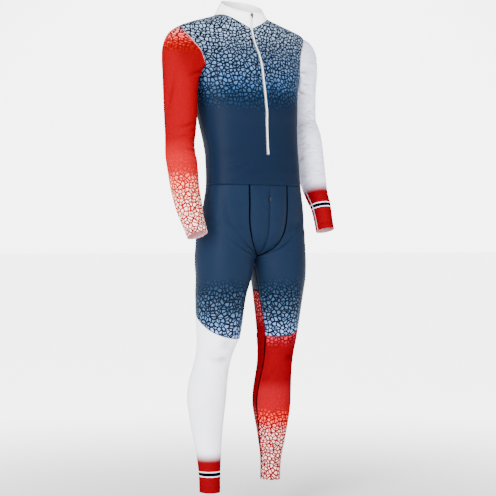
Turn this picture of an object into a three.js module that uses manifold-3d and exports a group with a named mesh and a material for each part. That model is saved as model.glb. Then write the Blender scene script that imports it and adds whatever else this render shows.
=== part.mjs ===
// Cross-country ski race suit, worn, with no wearer shown. Millimetres, +Z up, +X the wearer's left.
// The front faces -Y. The tables hold heights above the floor; the group is moved to its origin last.
import * as THREE from "three";
import Module from "manifold-3d";

const wasm = await Module();
wasm.setup();

const WALL = 1.8; // cloth with its lining and print
const SEAM = 0.15; // each piece stops this far from a seam line
const HOLD = { y: 55, z: 1530 }; // middle of the neck, where the shoulders carry the suit
const NECK = 83; // half width of the neck seam
const ZIP_HALF = 4.8; // half of the slit at the front
const ZIP_END = 1106; // height of the lower end of the zip
const WAIST = 1017;
const THIGH_GAP = 1.5; // each inner thigh stays this far from the middle plane
const BLEND = 20; // radius of the fillet between seat and legs

const FRONT_COLUMNS = { leg: 8, pouch: 4 };
const BACK_COLUMNS = { shoulder: 6, neck: 8 };
const ARM_ROWS = 9;
const SIDE_ROWS = 10;
const POUCH_ROWS = 7;
const THIGH_ROWS = { pouch: 7, bottom: 5, crotch: 2, inner: 4, knee: 5 };
const SHANK_ROWS = 12;
const HEAD_ROWS = 5;
const SLEEVE_ROWS = 16;

// Torso sections: half width, depth to the front and to the back of the widest line, and its place.
const torso = [
  { z: 1600, half: 50, front: 40, back: 48, line: 62 },
  { z: 1550, half: 70, front: 50, back: 57, line: 60 },
  { z: 1538, half: 85, front: 60, back: 60, line: 57 },
  { z: 1525, half: 124, front: 62, back: 64, line: 55 },
  { z: 1508, half: 177, front: 62, back: 68, line: 50 },
  { z: 1492, half: 220, front: 60, back: 75, line: 45 },
  { z: 1470, half: 225, front: 66, back: 84, line: 42 },
  { z: 1445, half: 222, front: 75, back: 92, line: 40 },
  { z: 1410, half: 211, front: 96, back: 96, line: 38 },
  { z: 1360, half: 196, front: 110, back: 96, line: 34 },
  { z: 1310, half: 179, front: 111, back: 100, line: 25 },
  { z: 1245, half: 168, front: 110, back: 104, line: 12 },
  { z: 1200, half: 162, front: 101, back: 104, line: 2 },
  { z: 1106, half: 153, front: 81, back: 117, line: -25 },
  { z: 1022, half: 156, front: 80, back: 112, line: -32 },
  { z: 955, half: 165, front: 79, back: 126, line: -34 },
  { z: 900, half: 172, front: 78, back: 130, line: -31 },
  { z: 840, half: 177, front: 77, back: 122, line: -28 },
];
const SEAT = { top: 900, bottom: 801, middle: -5, half: 176, front: 100, back: 104 };

// Leg sections, right leg as seen: middle and radius. side is towards the wearer's right or left.
const legs = {
  right: [
    { z: 940, side: 84, y: -12, wide: 70, deep: 70 },
    { z: 880, side: 90, y: -9, wide: 85, deep: 85 },
    { z: 800, side: 92, y: -6, wide: 87, deep: 89 },
    { z: 745, side: 95, y: -6, wide: 82, deep: 85 },
    { z: 688, side: 100, y: 2, wide: 75, deep: 77 },
    { z: 561, side: 115, y: -8, wide: 62, deep: 66 },
    { z: 504, side: 119, y: 13, wide: 51, deep: 56 },
    { z: 390, side: 126, y: 40, wide: 56, deep: 62 },
    { z: 300, side: 131, y: 31, wide: 47, deep: 50 },
    { z: 210, side: 137, y: 10, wide: 35, deep: 38 },
    { z: 139, side: 142, y: -3, wide: 30, deep: 33 },
    { z: 98, side: 144, y: -7, wide: 29, deep: 33 },
  ],
  left: [
    { z: 940, side: 84, y: -14, wide: 70, deep: 70 },
    { z: 880, side: 90, y: -13, wide: 85, deep: 85 },
    { z: 800, side: 92, y: -14, wide: 87, deep: 89 },
    { z: 745, side: 95, y: -17, wide: 82, deep: 85 },
    { z: 688, side: 100, y: -9, wide: 75, deep: 77 },
    { z: 544, side: 115, y: 21, wide: 58, deep: 61 },
    { z: 483, side: 118, y: 35, wide: 52, deep: 57 },
    { z: 359, side: 125, y: 64, wide: 57, deep: 63 },
    { z: 257, side: 131, y: 72, wide: 44, deep: 48 },
    { z: 157, side: 135, y: 84, wide: 30, deep: 34 },
    { z: 98, side: 137, y: 90, wide: 29, deep: 33 },
  ],
};
const HEM = { right: 103, left: 106 };
// Sleeve heads: how the cloth leaves the top of the armhole, outwards and down, and how far.
const HEAD = { right: { out: 0.93, down: -0.32, long: 76 }, left: { out: 1, down: -0.2, long: 82 } };

// Sleeve sections from the upper arm to the cuff.
const sleeves = {
  right: [
    { z: 1300, side: 235, y: 12, wide: 47, deep: 62 },
    { z: 1240, side: 237, y: 7, wide: 46, deep: 60 },
    { z: 1202, side: 238, y: 4, wide: 45, deep: 56 },
    { z: 1134, side: 241, y: 4, wide: 42, deep: 48 },
    { z: 1060, side: 246, y: -22, wide: 44, deep: 46 },
    { z: 1008, side: 247, y: -36, wide: 42, deep: 43 },
    { z: 944, side: 246, y: -61, wide: 39, deep: 39 },
    { z: 887, side: 240, y: -84, wide: 32, deep: 34 },
    { z: 868, side: 238, y: -92, wide: 31, deep: 33 },
  ],
  left: [
    { z: 1300, side: 233, y: 66, wide: 46, deep: 60 },
    { z: 1235, side: 235, y: 65, wide: 45, deep: 56 },
    { z: 1164, side: 238, y: 30, wide: 43, deep: 50 },
    { z: 1058, side: 247, y: 17, wide: 42, deep: 44 },
    { z: 1006, side: 250, y: 2, wide: 37, deep: 38 },
    { z: 956, side: 252, y: -24, wide: 31, deep: 32 },
    { z: 905, side: 252, y: -40, wide: 28, deep: 30 },
    { z: 885, side: 252, y: -46, wide: 28, deep: 30 },
  ],
};

// Armhole: how far round from the front, in degrees, its front edge lies at each height.
const armhole = [
  { z: 1492, turn: 90 },
  { z: 1474, turn: 72 },
  { z: 1450, turn: 62 },
  { z: 1418, turn: 56 },
  { z: 1385, turn: 56 },
  { z: 1358, turn: 64 },
  { z: 1341, turn: 77 },
  { z: 1335, turn: 90 },
];

// Front pouch: distance of its edge from the middle at each height, and its curved bottom edge.
const pouchSide = [
  { z: 1022, x: 67 },
  { z: 940, x: 67 },
  { z: 905, x: 65 },
  { z: 875, x: 58 },
  { z: 850, x: 47 },
];
const pouchBottom = [
  { x: 47, z: 850 },
  { x: 38, z: 837 },
  { x: 28, z: 826 },
  { x: 18, z: 818 },
  { x: 9, z: 811 },
  { x: 0, z: 808 },
];

// Seam over the knee: height of the front piece's top edge from the inseam (0) to the outseam (1).
const kneeSeam = [
  { t: 0, z: 562 },
  { t: 0.2, z: 561 },
  { t: 0.4, z: 566 },
  { t: 0.6, z: 584 },
  { t: 0.8, z: 612 },
  { t: 1, z: 640 },
];
const OUTSEAM = 220; // place of the seam down the outside of the leg, behind straight outwards (180)
const BACK_SEAM = { inner: 700, outer: 706 }; // top edge of the back piece of the lower leg
// Place of the inseam, in degrees in front of straight inwards.
const inseam = [
  { z: 810, turn: 0 },
  { z: 700, turn: 6 },
  { z: 562, turn: 20 },
  { z: 386, turn: 5 },
  { z: 280, turn: -3 },
  { z: 98, turn: -22 },
];

// Soft folds raised along the cloth: middle, direction, and half length, half width and height.
const folds = [
  { x: -196, y: -30, z: 1352, dx: -0.5, dy: -0.3, dz: 0.8, long: 44, wide: 11, high: 3 },
  { x: -184, y: -8, z: 1322, dx: -0.8, dy: -0.4, dz: 0.35, long: 40, wide: 10, high: 2.6 },
  { x: 196, y: 10, z: 1352, dx: 0.5, dy: -0.3, dz: 0.8, long: 44, wide: 11, high: 3 },
  { x: 190, y: 20, z: 1318, dx: 0.8, dy: -0.4, dz: 0.3, long: 42, wide: 10, high: 2.8 },
  { x: 232, y: 10, z: 1262, dx: 0.9, dy: 0.2, dz: -0.4, long: 46, wide: 11, high: 2.4 },
  { x: 214, y: -8, z: 1120, dx: 0.8, dy: -0.3, dz: 0.5, long: 40, wide: 10, high: 2.6 },
  { x: 210, y: -14, z: 1084, dx: 0.9, dy: -0.3, dz: -0.2, long: 38, wide: 10, high: 2.6 },
  { x: -222, y: -40, z: 1112, dx: 0.9, dy: 0.3, dz: 0.4, long: 38, wide: 10, high: 2.4 },
  { x: -224, y: -54, z: 1076, dx: 0.9, dy: 0.3, dz: -0.3, long: 36, wide: 10, high: 2.4 },
  { x: -52, y: -88, z: 838, dx: -0.8, dy: 0.2, dz: 0.55, long: 42, wide: 10, high: 2.4 },
  { x: 52, y: -92, z: 838, dx: 0.8, dy: 0.2, dz: 0.55, long: 42, wide: 10, high: 2.4 },
  { x: -88, y: 84, z: 812, dx: 0.95, dy: 0.1, dz: -0.2, long: 56, wide: 12, high: 3 },
  { x: 88, y: 78, z: 812, dx: 0.95, dy: 0.1, dz: 0.2, long: 56, wide: 12, high: 3 },
];

const COLLAR = { half: 66, middle: 41, front: 55, back: 55, frontTop: 1544, backTop: 1593, rows: 3 };

const colours = {
  navy: 0x213450,
  red: 0xd80c12,
  pale: 0xcfd0d6,
  white: 0xebebec,
  dark: 0x20242b,
  metal: 0xc9ccd0,
};

const radians = (degrees) => (degrees * Math.PI) / 180;
const mix = (a, b, t) => a + (b - a) * t;
const vec = (x, y, z) => new THREE.Vector3(x, y, z);
const lerp = (a, b, t) => a.clone().lerp(b, t);
const sign = { right: -1, left: 1 };

// Smooth value of one column of a table at a key, with no overshoot between its rows.
function smooth(table, keyName, column, key) {
  const rows = table;
  const up = rows[rows.length - 1][keyName] > rows[0][keyName] ? 1 : -1;
  let i = 0;
  while (i < rows.length - 2 && up * key > up * rows[i + 1][keyName]) i += 1;
  const slope = (k) => {
    if (k < 0 || k > rows.length - 2) return null;
    return (rows[k + 1][column] - rows[k][column]) / (rows[k + 1][keyName] - rows[k][keyName]);
  };
  const tangent = (k) => {
    const a = slope(k - 1);
    const b = slope(k);
    if (a === null) return b;
    if (b === null) return a;
    if (a * b <= 0) return 0;
    return (2 * a * b) / (a + b);
  };
  const h = rows[i + 1][keyName] - rows[i][keyName];
  const t = Math.min(1, Math.max(0, (key - rows[i][keyName]) / h));
  const a = rows[i][column];
  const b = rows[i + 1][column];
  const ta = tangent(i) * h;
  const tb = tangent(i + 1) * h;
  const t2 = t * t;
  const t3 = t2 * t;
  return (2 * t3 - 3 * t2 + 1) * a + (t3 - 2 * t2 + t) * ta + (3 * t2 - 2 * t3) * b + (t3 - t2) * tb;
}

// A point of the upper body: turn is 0 at the front, 90 at the side and 180 at the back.
function torsoPoint(side, turn, z) {
  const half = smooth(torso, "z", "half", z);
  const line = smooth(torso, "z", "line", z);
  const depth = smooth(torso, "z", turn < 90 ? "front" : "back", z);
  const c = Math.cos(radians(turn));
  const s = Math.sin(radians(turn));
  const flat = 0.92;
  return vec(side * half * Math.pow(Math.abs(s), flat), line - depth * Math.sign(c) * Math.pow(Math.abs(c), flat), z);
}

// The turn at which the upper body is x wide at height z.
function turnAt(x, z, behind) {
  const half = smooth(torso, "z", "half", z);
  const s = Math.pow(Math.min(1, x / half), 1 / 0.92);
  const turn = (Math.asin(s) * 180) / Math.PI;
  return behind ? 180 - turn : turn;
}

function ovalDistance(p, x, y, wide, front, back) {
  const deep = p.y < y ? front : back;
  const power = 2.15;
  const r = Math.pow(Math.pow(Math.abs(p.x - x) / wide, power) + Math.pow(Math.abs(p.y - y) / deep, power), 1 / power);
  return (r - 1) * Math.min(wide, deep);
}

function seatDistance(p) {
  const line = smooth(torso, "z", "line", p.z);
  const half = smooth(torso, "z", "half", p.z);
  const front = smooth(torso, "z", "front", p.z);
  const back = smooth(torso, "z", "back", p.z);
  if (p.z >= SEAT.top) return ovalDistance(p, 0, line, half, front, back);
  const t = (SEAT.top - p.z) / (SEAT.top - SEAT.bottom);
  if (t >= 1) return 40 + (SEAT.bottom - p.z);
  const shrink = Math.sqrt(1 - t * t);
  const middle = mix(smooth(torso, "z", "line", SEAT.top), SEAT.middle, t);
  return ovalDistance(p, 0, middle, half * mix(1, 0.6, t) * shrink, mix(front, SEAT.front, t) * shrink, mix(back, SEAT.back, t) * shrink);
}

function legAt(side, z) {
  const table = legs[side];
  const at = (column) => smooth(table, "z", column, z);
  return { x: sign[side] * at("side"), y: at("y"), wide: at("wide"), deep: at("deep") };
}

function legDistance(side, p) {
  if (p.z > 940) return 60 + p.z - 940;
  const leg = legAt(side, p.z);
  const d = ovalDistance(p, leg.x, leg.y, leg.wide, leg.deep, leg.deep);
  return p.z > 880 ? d + (p.z - 880) * 0.7 : d;
}

function blend(a, b, k) {
  const h = Math.max(k - Math.abs(a - b), 0) / k;
  return Math.min(a, b) - (h * h * k) / 4;
}

function lowerDistance(p) {
  return blend(seatDistance(p), blend(legDistance("right", p), legDistance("left", p), BLEND), BLEND);
}

// The lower body where a level ray from a start leaves it, or where it meets the inner thigh plane.
function castLower(side, start, turn) {
  const s = sign[side];
  const dx = -s * Math.cos(radians(turn));
  const dy = -Math.sin(radians(turn));
  let inside = 0;
  let outside = 8;
  const at = (r) => vec(start.x + dx * r, start.y + dy * r, start.z);
  while (lowerDistance(at(outside)) < 0 && outside < 400) {
    inside = outside;
    outside += 8;
  }
  for (let k = 0; k < 26; k += 1) {
    const r = (inside + outside) / 2;
    if (lowerDistance(at(r)) < 0) inside = r;
    else outside = r;
  }
  const p = at(inside);
  if (s * p.x < THIGH_GAP) {
    const r = (s * start.x - THIGH_GAP) / (-s * dx);
    return at(r);
  }
  return p;
}

// Start of the rays at a height: it moves from the body's middle to the leg's.
function rayStart(side, z) {
  const leg = legAt(side, Math.min(z, 800));
  const t = Math.min(1, Math.max(0, (z - 800) / (WAIST - 800)));
  return vec(mix(leg.x, sign[side] * 60, t), mix(leg.y, -15, t), z);
}

// The turn, 0 straight inwards, 90 to the front and 180 outwards, at which a point lies from the ray start.
function turnOf(side, p) {
  const start = rayStart(side, p.z);
  const turn = (Math.atan2(-(p.y - start.y), -sign[side] * (p.x - start.x)) * 180) / Math.PI;
  return turn;
}

// Point of the lower body's front or back at a distance from the middle plane.
function lowerAtX(x, z, behind) {
  let inside = -20;
  let outside = behind ? 200 : -240;
  for (let k = 0; k < 40; k += 1) {
    const y = (inside + outside) / 2;
    if (lowerDistance(vec(x, y, z)) < 0) inside = y;
    else outside = y;
  }
  return vec(x, inside, z);
}

// The crotch line in the middle plane: from the pouch tip under to the back.
function crotchPoint(y) {
  let inside = 900;
  let outside = 700;
  for (let k = 0; k < 40; k += 1) {
    const z = (inside + outside) / 2;
    if (lowerDistance(vec(0, y, z)) < 0) inside = z;
    else outside = z;
  }
  return vec(0, y, inside);
}

// Spreads points evenly along a path of points.
function spread(points, count) {
  const length = [0];
  for (let i = 1; i < points.length; i += 1) length.push(length[i - 1] + points[i].distanceTo(points[i - 1]));
  const whole = length[length.length - 1];
  const result = [];
  let k = 0;
  for (let i = 0; i <= count; i += 1) {
    const at = (whole * i) / count;
    while (k < points.length - 2 && length[k + 1] < at) k += 1;
    const t = Math.min(1, Math.max(0, (at - length[k]) / (length[k + 1] - length[k])));
    result.push(lerp(points[k], points[k + 1], t));
  }
  return result;
}

const range = (count) => Array.from({ length: count + 1 }, (unused, i) => i / count);

// Fills a grid between four edges given in (turn, z), as rows from the top edge to the bottom edge.
function fillTurns(top, bottom, inner, outer) {
  const rows = inner.length - 1;
  const columns = top.length - 1;
  const grid = [];
  for (let i = 0; i <= rows; i += 1) {
    const v = i / rows;
    const row = [];
    for (let j = 0; j <= columns; j += 1) {
      const u = j / columns;
      const value = (key) =>
        mix(inner[i][key], outer[i][key], u) +
        mix(top[j][key], bottom[j][key], v) -
        mix(mix(top[0][key], top[columns][key], u), mix(bottom[0][key], bottom[columns][key], u), v);
      row.push({ turn: value("turn"), z: value("z") });
    }
    grid.push(row);
  }
  return grid;
}

// Evens out the inner points of a grid, and puts each back on its surface.
function relax(grid, times, project) {
  const rows = grid.length - 1;
  const columns = grid[0].length - 1;
  for (let k = 0; k < times; k += 1) {
    for (let i = 1; i < rows; i += 1) {
      for (let j = 1; j < columns; j += 1) {
        const mean = vec(0, 0, 0);
        mean.add(grid[i - 1][j]).add(grid[i + 1][j]).add(grid[i][j - 1]).add(grid[i][j + 1]);
        grid[i][j] = project(mean.multiplyScalar(0.25));
      }
    }
  }
  return grid;
}

function projectTorso(p, behind) {
  const half = smooth(torso, "z", "half", p.z);
  const line = smooth(torso, "z", "line", p.z);
  const depth = smooth(torso, "z", behind ? "back" : "front", p.z);
  const across = Math.pow(Math.abs(p.x) / half, 1 / 0.92);
  const ahead = Math.pow(Math.max(0, behind ? p.y - line : line - p.y) / depth, 1 / 0.92);
  const turn = (Math.atan2(across, ahead) * 180) / Math.PI;
  return torsoPoint(Math.sign(p.x), behind ? 180 - turn : turn, p.z);
}

// Upper body grids.
function neckAt(side, t) {
  // t 0 at the front middle, 1 at the neck side, 2 at the back middle
  if (t <= 1) {
    const x = NECK * Math.sin(radians(90 * t));
    const z = 1496 + 42 * Math.pow(Math.sin(radians(90 * t)), 1.3);
    return { turn: turnAt(Math.max(x, ZIP_HALF), z, false), z };
  }
  const x = NECK * Math.sin(radians(90 * t));
  const z = 1538 + 9 * Math.pow(Math.cos(radians(90 * t)) * -1, 1.2);
  const half = smooth(torso, "z", "half", z);
  const s = Math.min(1, x / NECK);
  return { turn: 180 - (Math.asin(Math.pow(s, 1 / 0.92)) * 180) / Math.PI, z, half };
}

function shoulderEdge(side, behind) {
  const edge = [];
  const neckCount = behind ? BACK_COLUMNS.neck / 2 : 12 - BACK_COLUMNS.shoulder;
  for (let j = 0; j < neckCount; j += 1) {
    edge.push(neckAt(side, behind ? 2 - j / neckCount : j / neckCount));
  }
  const shoulder = [
    { t: 0, z: 1538 },
    { t: 0.3, z: 1526 },
    { t: 0.62, z: 1511.5 },
    { t: 1, z: 1492 },
  ];
  for (let j = 0; j <= BACK_COLUMNS.shoulder; j += 1) {
    edge.push({ turn: 90, z: smooth(shoulder, "t", "z", j / BACK_COLUMNS.shoulder) });
  }
  return edge;
}

function armholeEdge(behind) {
  const fine = range(60).map((t) => {
    const i = t * (armhole.length - 1);
    const key = armhole.map((row, k) => ({ k, z: row.z, turn: row.turn }));
    return { z: smooth(key, "k", "z", i), turn: smooth(key, "k", "turn", i) };
  });
  const points = fine.map((row) => torsoPoint(1, row.turn, row.z));
  const placed = spread(points, ARM_ROWS);
  return placed.map((p, k) => {
    let best = fine[0];
    let gap = Infinity;
    fine.forEach((row, n) => {
      const d = points[n].distanceTo(p);
      if (d < gap) {
        gap = d;
        best = row;
      }
    });
    const turn = k === 0 || k === ARM_ROWS ? 90 : best.turn;
    return { turn: behind ? 180 - turn : turn, z: best.z };
  });
}

function upperGrid(side, behind) {
  const s = sign[side];
  const top = shoulderEdge(side, behind);
  const outer = armholeEdge(behind);
  for (let k = 1; k <= SIDE_ROWS; k += 1) outer.push({ turn: 90, z: mix(1335, WAIST, k / SIDE_ROWS) });
  const rows = outer.length - 1;
  const columns = top.length - 1;
  const startZ = top[0].z;
  const inner = range(rows).map((t) => {
    const z = mix(startZ, WAIST, t);
    return { turn: behind ? 180 : turnAt(ZIP_HALF, z, false), z };
  });
  if (!behind) {
    // one row ends exactly where the zip ends
    let near = 0;
    inner.forEach((row, i) => {
      if (Math.abs(row.z - ZIP_END) < Math.abs(inner[near].z - ZIP_END)) near = i;
    });
    const zipRow = near;
    inner.forEach((row, i) => {
      const z = i <= zipRow ? mix(startZ, ZIP_END, i / zipRow) : mix(ZIP_END, WAIST, (i - zipRow) / (rows - zipRow));
      inner[i] = { turn: turnAt(ZIP_HALF, z, false), z };
    });
    inner.zipRow = zipRow;
  }
  const bottom = waistTurns(behind);
  const grid = fillTurns(top, bottom, inner, outer).map((row) => row.map((c) => torsoPoint(s, c.turn, c.z)));
  relax(grid, 24, (p) => projectTorso(p, behind));
  grid.zipRow = inner.zipRow;
  return grid;
}

// Columns of the waist seam: from the middle out to the side.
function waistTurns(behind) {
  if (behind) {
    const count = BACK_COLUMNS.shoulder + BACK_COLUMNS.neck / 2;
    return range(count).map((t) => ({ turn: 180 - 90 * t, z: WAIST }));
  }
  const edgeTurn = turnAt(pouchSide[0].x, WAIST, false);
  const first = turnAt(ZIP_HALF, WAIST, false);
  const list = [];
  for (let j = 0; j <= FRONT_COLUMNS.pouch; j += 1) {
    list.push({ turn: mix(first, edgeTurn, j / FRONT_COLUMNS.pouch), z: WAIST });
  }
  for (let j = 1; j <= FRONT_COLUMNS.leg; j += 1) {
    list.push({ turn: mix(edgeTurn, 90, j / FRONT_COLUMNS.leg), z: WAIST });
  }
  return list;
}

const upper = {};
for (const side of ["right", "left"]) {
  upper[side] = { front: upperGrid(side, false), back: upperGrid(side, true) };
}

// Lower body seams, as shared lists of points.
const lower = {};
for (const side of ["right", "left"]) {
  const s = sign[side];
  const frontWaist = upper[side].front[upper[side].front.length - 1];
  const backWaist = upper[side].back[upper[side].back.length - 1];
  const pouchTop = frontWaist.slice(0, FRONT_COLUMNS.pouch + 1);
  const thighTop = frontWaist.slice(FRONT_COLUMNS.pouch);
  const sidePath = range(40).map((t) => {
    const z = mix(WAIST, 850, t);
    return lowerAtX(s * smooth(pouchSide, "z", "x", z), z, false);
  });
  sidePath[0] = thighTop[0].clone();
  const pouchEdge = spread(sidePath, POUCH_ROWS);
  const bottomPath = range(40).map((t) => {
    const keyed = pouchBottom.map((row, k) => ({ k, x: row.x, z: row.z }));
    const at = t * (pouchBottom.length - 1);
    return lowerAtX(s * smooth(keyed, "k", "x", at), smooth(keyed, "k", "z", at), false);
  });
  bottomPath[0] = pouchEdge[POUCH_ROWS].clone();
  const tip = lowerAtX(0, 808, false);
  bottomPath[40] = tip.clone();
  const bottomEdge = spread(bottomPath, THIGH_ROWS.bottom);
  lower[side] = { pouchTop, thighTop, backWaist, pouchEdge, bottomEdge, tip };
}

// Middle seam under the crotch, shared by both sides, and the seam up the back.
const tipPoint = lower.right.tip;
const crotchFront = range(THIGH_ROWS.crotch).map((t) => crotchPoint(mix(tipPoint.y, 8, t)));
crotchFront[0] = tipPoint.clone();
const backRowCount = THIGH_ROWS.pouch + THIGH_ROWS.bottom + THIGH_ROWS.crotch;
const backPath = [];
for (const t of range(20)) backPath.push(lowerAtX(0, mix(WAIST, 850, t), true));
for (const t of range(20).slice(1)) {
  const turn = 90 * t;
  const y0 = backPath[20].y;
  backPath.push(crotchPoint(mix(8, y0, Math.cos(radians(turn)))));
}
backPath[0] = lower.right.backWaist[0].clone();
const backSeam = spread(backPath, backRowCount);
backSeam[backRowCount] = crotchFront[THIGH_ROWS.crotch].clone();

function innerTurnAt(z) {
  return smooth(inseam, "z", "turn", z);
}

// Points of a grid whose edges are given: those inside are cast from the ray starts, then evened out.
function castCells(side, cells, top, bottom, inner, outer) {
  const rows = inner.length - 1;
  const columns = top.length - 1;
  const grid = cells.map((row, i) =>
    row.map((c, j) => {
      if (i === 0) return top[j];
      if (i === rows) return bottom[j];
      if (j === 0) return inner[i];
      if (j === columns) return outer[i];
      return castLower(side, rayStart(side, c.z), c.turn);
    }),
  );
  return relax(grid, 4, (p) => castLower(side, rayStart(side, p.z), turnOf(side, p)));
}

function shapeLower(side) {
  const s = sign[side];
  const own = lower[side];
  const toTurn = (p) => ({ turn: turnOf(side, p), z: p.z });
  const crotch = crotchFront[THIGH_ROWS.crotch];
  const innerAt = (z) => castLower(side, rayStart(side, z), innerTurnAt(z));
  const inseamUpper = [];
  for (let k = 1; k <= THIGH_ROWS.inner; k += 1) inseamUpper.push(innerAt(mix(crotch.z, BACK_SEAM.inner, k / THIGH_ROWS.inner)));
  const inseamKnee = [];
  for (let k = 1; k <= THIGH_ROWS.knee; k += 1) inseamKnee.push(innerAt(mix(BACK_SEAM.inner, kneeSeam[0].z, k / THIGH_ROWS.knee)));
  const inseamShank = [];
  const hem = HEM[side];
  for (let k = 1; k <= SHANK_ROWS; k += 1) inseamShank.push(innerAt(mix(kneeSeam[0].z, hem, k / SHANK_ROWS)));
  const outerAt = (z) => {
    const start = rayStart(side, z);
    const t = Math.min(1, Math.max(0, (z - 760) / (WAIST - 760)));
    const sidePoint = torsoPoint(s, 90, WAIST);
    const turn = mix(OUTSEAM, turnOf(side, sidePoint), Math.pow(t, 0.8));
    return castLower(side, start, turn);
  };
  const upperRows = backRowCount + THIGH_ROWS.inner;
  const outseam = [lower[side].thighTop[FRONT_COLUMNS.leg].clone()];
  for (let k = 1; k <= upperRows; k += 1) outseam.push(outerAt(mix(WAIST, BACK_SEAM.outer, k / upperRows)));
  for (let k = 1; k <= THIGH_ROWS.knee; k += 1) outseam.push(outerAt(mix(BACK_SEAM.outer, kneeSeam[kneeSeam.length - 1].z, k / THIGH_ROWS.knee)));
  for (let k = 1; k <= SHANK_ROWS; k += 1) outseam.push(outerAt(mix(kneeSeam[kneeSeam.length - 1].z, hem, k / SHANK_ROWS)));

  const build = (top, bottom, inner, outer) => {
    const fix = (list) =>
      list.map((p) => {
        const c = toTurn(p);
        if (c.turn < -90) c.turn += 360;
        return c;
      });
    const cells = fillTurns(fix(top), fix(bottom), fix(inner), fix(outer));
    return castCells(side, cells, top, bottom, inner, outer);
  };
  const kneeIndex = upperRows + THIGH_ROWS.knee;
  const frontInner = [...own.pouchEdge, ...own.bottomEdge.slice(1), ...crotchFront.slice(1), ...inseamUpper, ...inseamKnee];
  const frontOuter = outseam.slice(0, kneeIndex + 1);
  const frontLast = frontInner[frontInner.length - 1];
  const kneeEdge = range(FRONT_COLUMNS.leg).map((t) => {
    const z = smooth(kneeSeam, "t", "z", t);
    if (t === 0) return frontLast;
    if (t === 1) return frontOuter[kneeIndex];
    return castLower(side, rayStart(side, z), mix(innerTurnAt(kneeSeam[0].z), OUTSEAM, t));
  });
  const frontThigh = build(own.thighTop, kneeEdge, frontInner, frontOuter);

  const backInner = [...backSeam, ...inseamUpper];
  const backOuter = outseam.slice(0, upperRows + 1);
  const backCount = own.backWaist.length - 1;
  const backTop = own.backWaist.slice();
  const backKnee = range(backCount).map((t) => {
    const z = mix(BACK_SEAM.inner, BACK_SEAM.outer, t) + 6 * Math.sin(Math.PI * t);
    if (t === 0) return backInner[backInner.length - 1];
    if (t === 1) return backOuter[upperRows];
    return castLower(side, rayStart(side, z), mix(innerTurnAt(BACK_SEAM.inner), OUTSEAM - 360, t));
  });
  const backThigh = buildBack(side, backTop, backKnee, backInner, backOuter);

  const shankFrontInner = [frontLast, ...inseamShank];
  const shankFrontOuter = outseam.slice(kneeIndex);
  const ring = (t, behind) => {
    const turn = mix(innerTurnAt(hem), behind ? OUTSEAM - 360 : OUTSEAM, t);
    return castLower(side, rayStart(side, hem), turn);
  };
  const hemFront = range(FRONT_COLUMNS.leg).map((t) => ring(t, false));
  const hemBack = range(backCount).map((t) => ring(t, true));
  hemFront[0] = inseamShank[SHANK_ROWS - 1];
  hemBack[0] = inseamShank[SHANK_ROWS - 1];
  hemFront[FRONT_COLUMNS.leg] = outseam[outseam.length - 1];
  hemBack[backCount] = outseam[outseam.length - 1];
  const frontShank = build(kneeEdge, hemFront, shankFrontInner, shankFrontOuter);
  const shankBackInner = [backInner[backInner.length - 1], ...inseamKnee, ...inseamShank];
  const shankBackOuter = outseam.slice(upperRows);
  const backShank = buildBack(side, backKnee, hemBack, shankBackInner, shankBackOuter);
  return { frontThigh, backThigh, frontShank, backShank };
}

// A grid on the back of the leg: turns run from the inseam back and outwards, so they fall to -180.
function buildBack(side, top, bottom, inner, outer) {
  const columns = top.length - 1;
  const cell = (p, isOuter) => {
    let turn = turnOf(side, p);
    if (isOuter && turn > 90) turn -= 360;
    return { turn, z: p.z };
  };
  const edge = (list, last) => list.map((p, j) => cell(p, last || j > columns / 2));
  const cells = fillTurns(
    edge(top, false),
    edge(bottom, false),
    inner.map((p) => cell(p, false)),
    outer.map((p) => cell(p, true)),
  );
  return castCells(side, cells, top, bottom, inner, outer);
}

const legPanels = { right: shapeLower("right"), left: shapeLower("left") };

// The pouch halves: rows from the waist to the curved bottom edge.
function pouchGrid(side) {
  const s = sign[side];
  const own = lower[side];
  const rows = POUCH_ROWS;
  const columns = THIGH_ROWS.bottom;
  const topEdge = [lowerAtX(0, WAIST, false), ...own.pouchTop];
  topEdge[0] = vec(0, own.pouchTop[0].y, WAIST);
  const middle = range(rows).map((t) => mix(WAIST, 808, t));
  const grid = [];
  for (let i = 0; i <= rows; i += 1) {
    const row = [];
    for (let j = 0; j <= columns; j += 1) {
      if (i === 0) row.push(topEdge[j]);
      else if (j === columns) row.push(own.pouchEdge[i]);
      else if (i === rows) row.push(own.bottomEdge[columns - j]);
      else {
        const u = j / columns;
        const v = i / rows;
        const bottom = own.bottomEdge[columns - j];
        const edge = own.pouchEdge[i];
        const x = mix(0, Math.abs(edge.x), u) + mix(Math.abs(topEdge[j].x), Math.abs(bottom.x), v) - mix(mix(0, Math.abs(topEdge[columns].x), u), mix(0, Math.abs(own.pouchEdge[rows].x), u), v);
        const z = mix(middle[i], edge.z, u) + mix(WAIST, bottom.z, v) - mix(WAIST, mix(808, own.pouchEdge[rows].z, u), v);
        row.push(lowerAtX(s * x, z, false));
      }
    }
    grid.push(row);
  }
  return grid;
}
const pouches = { right: pouchGrid("right"), left: pouchGrid("left") };

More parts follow.
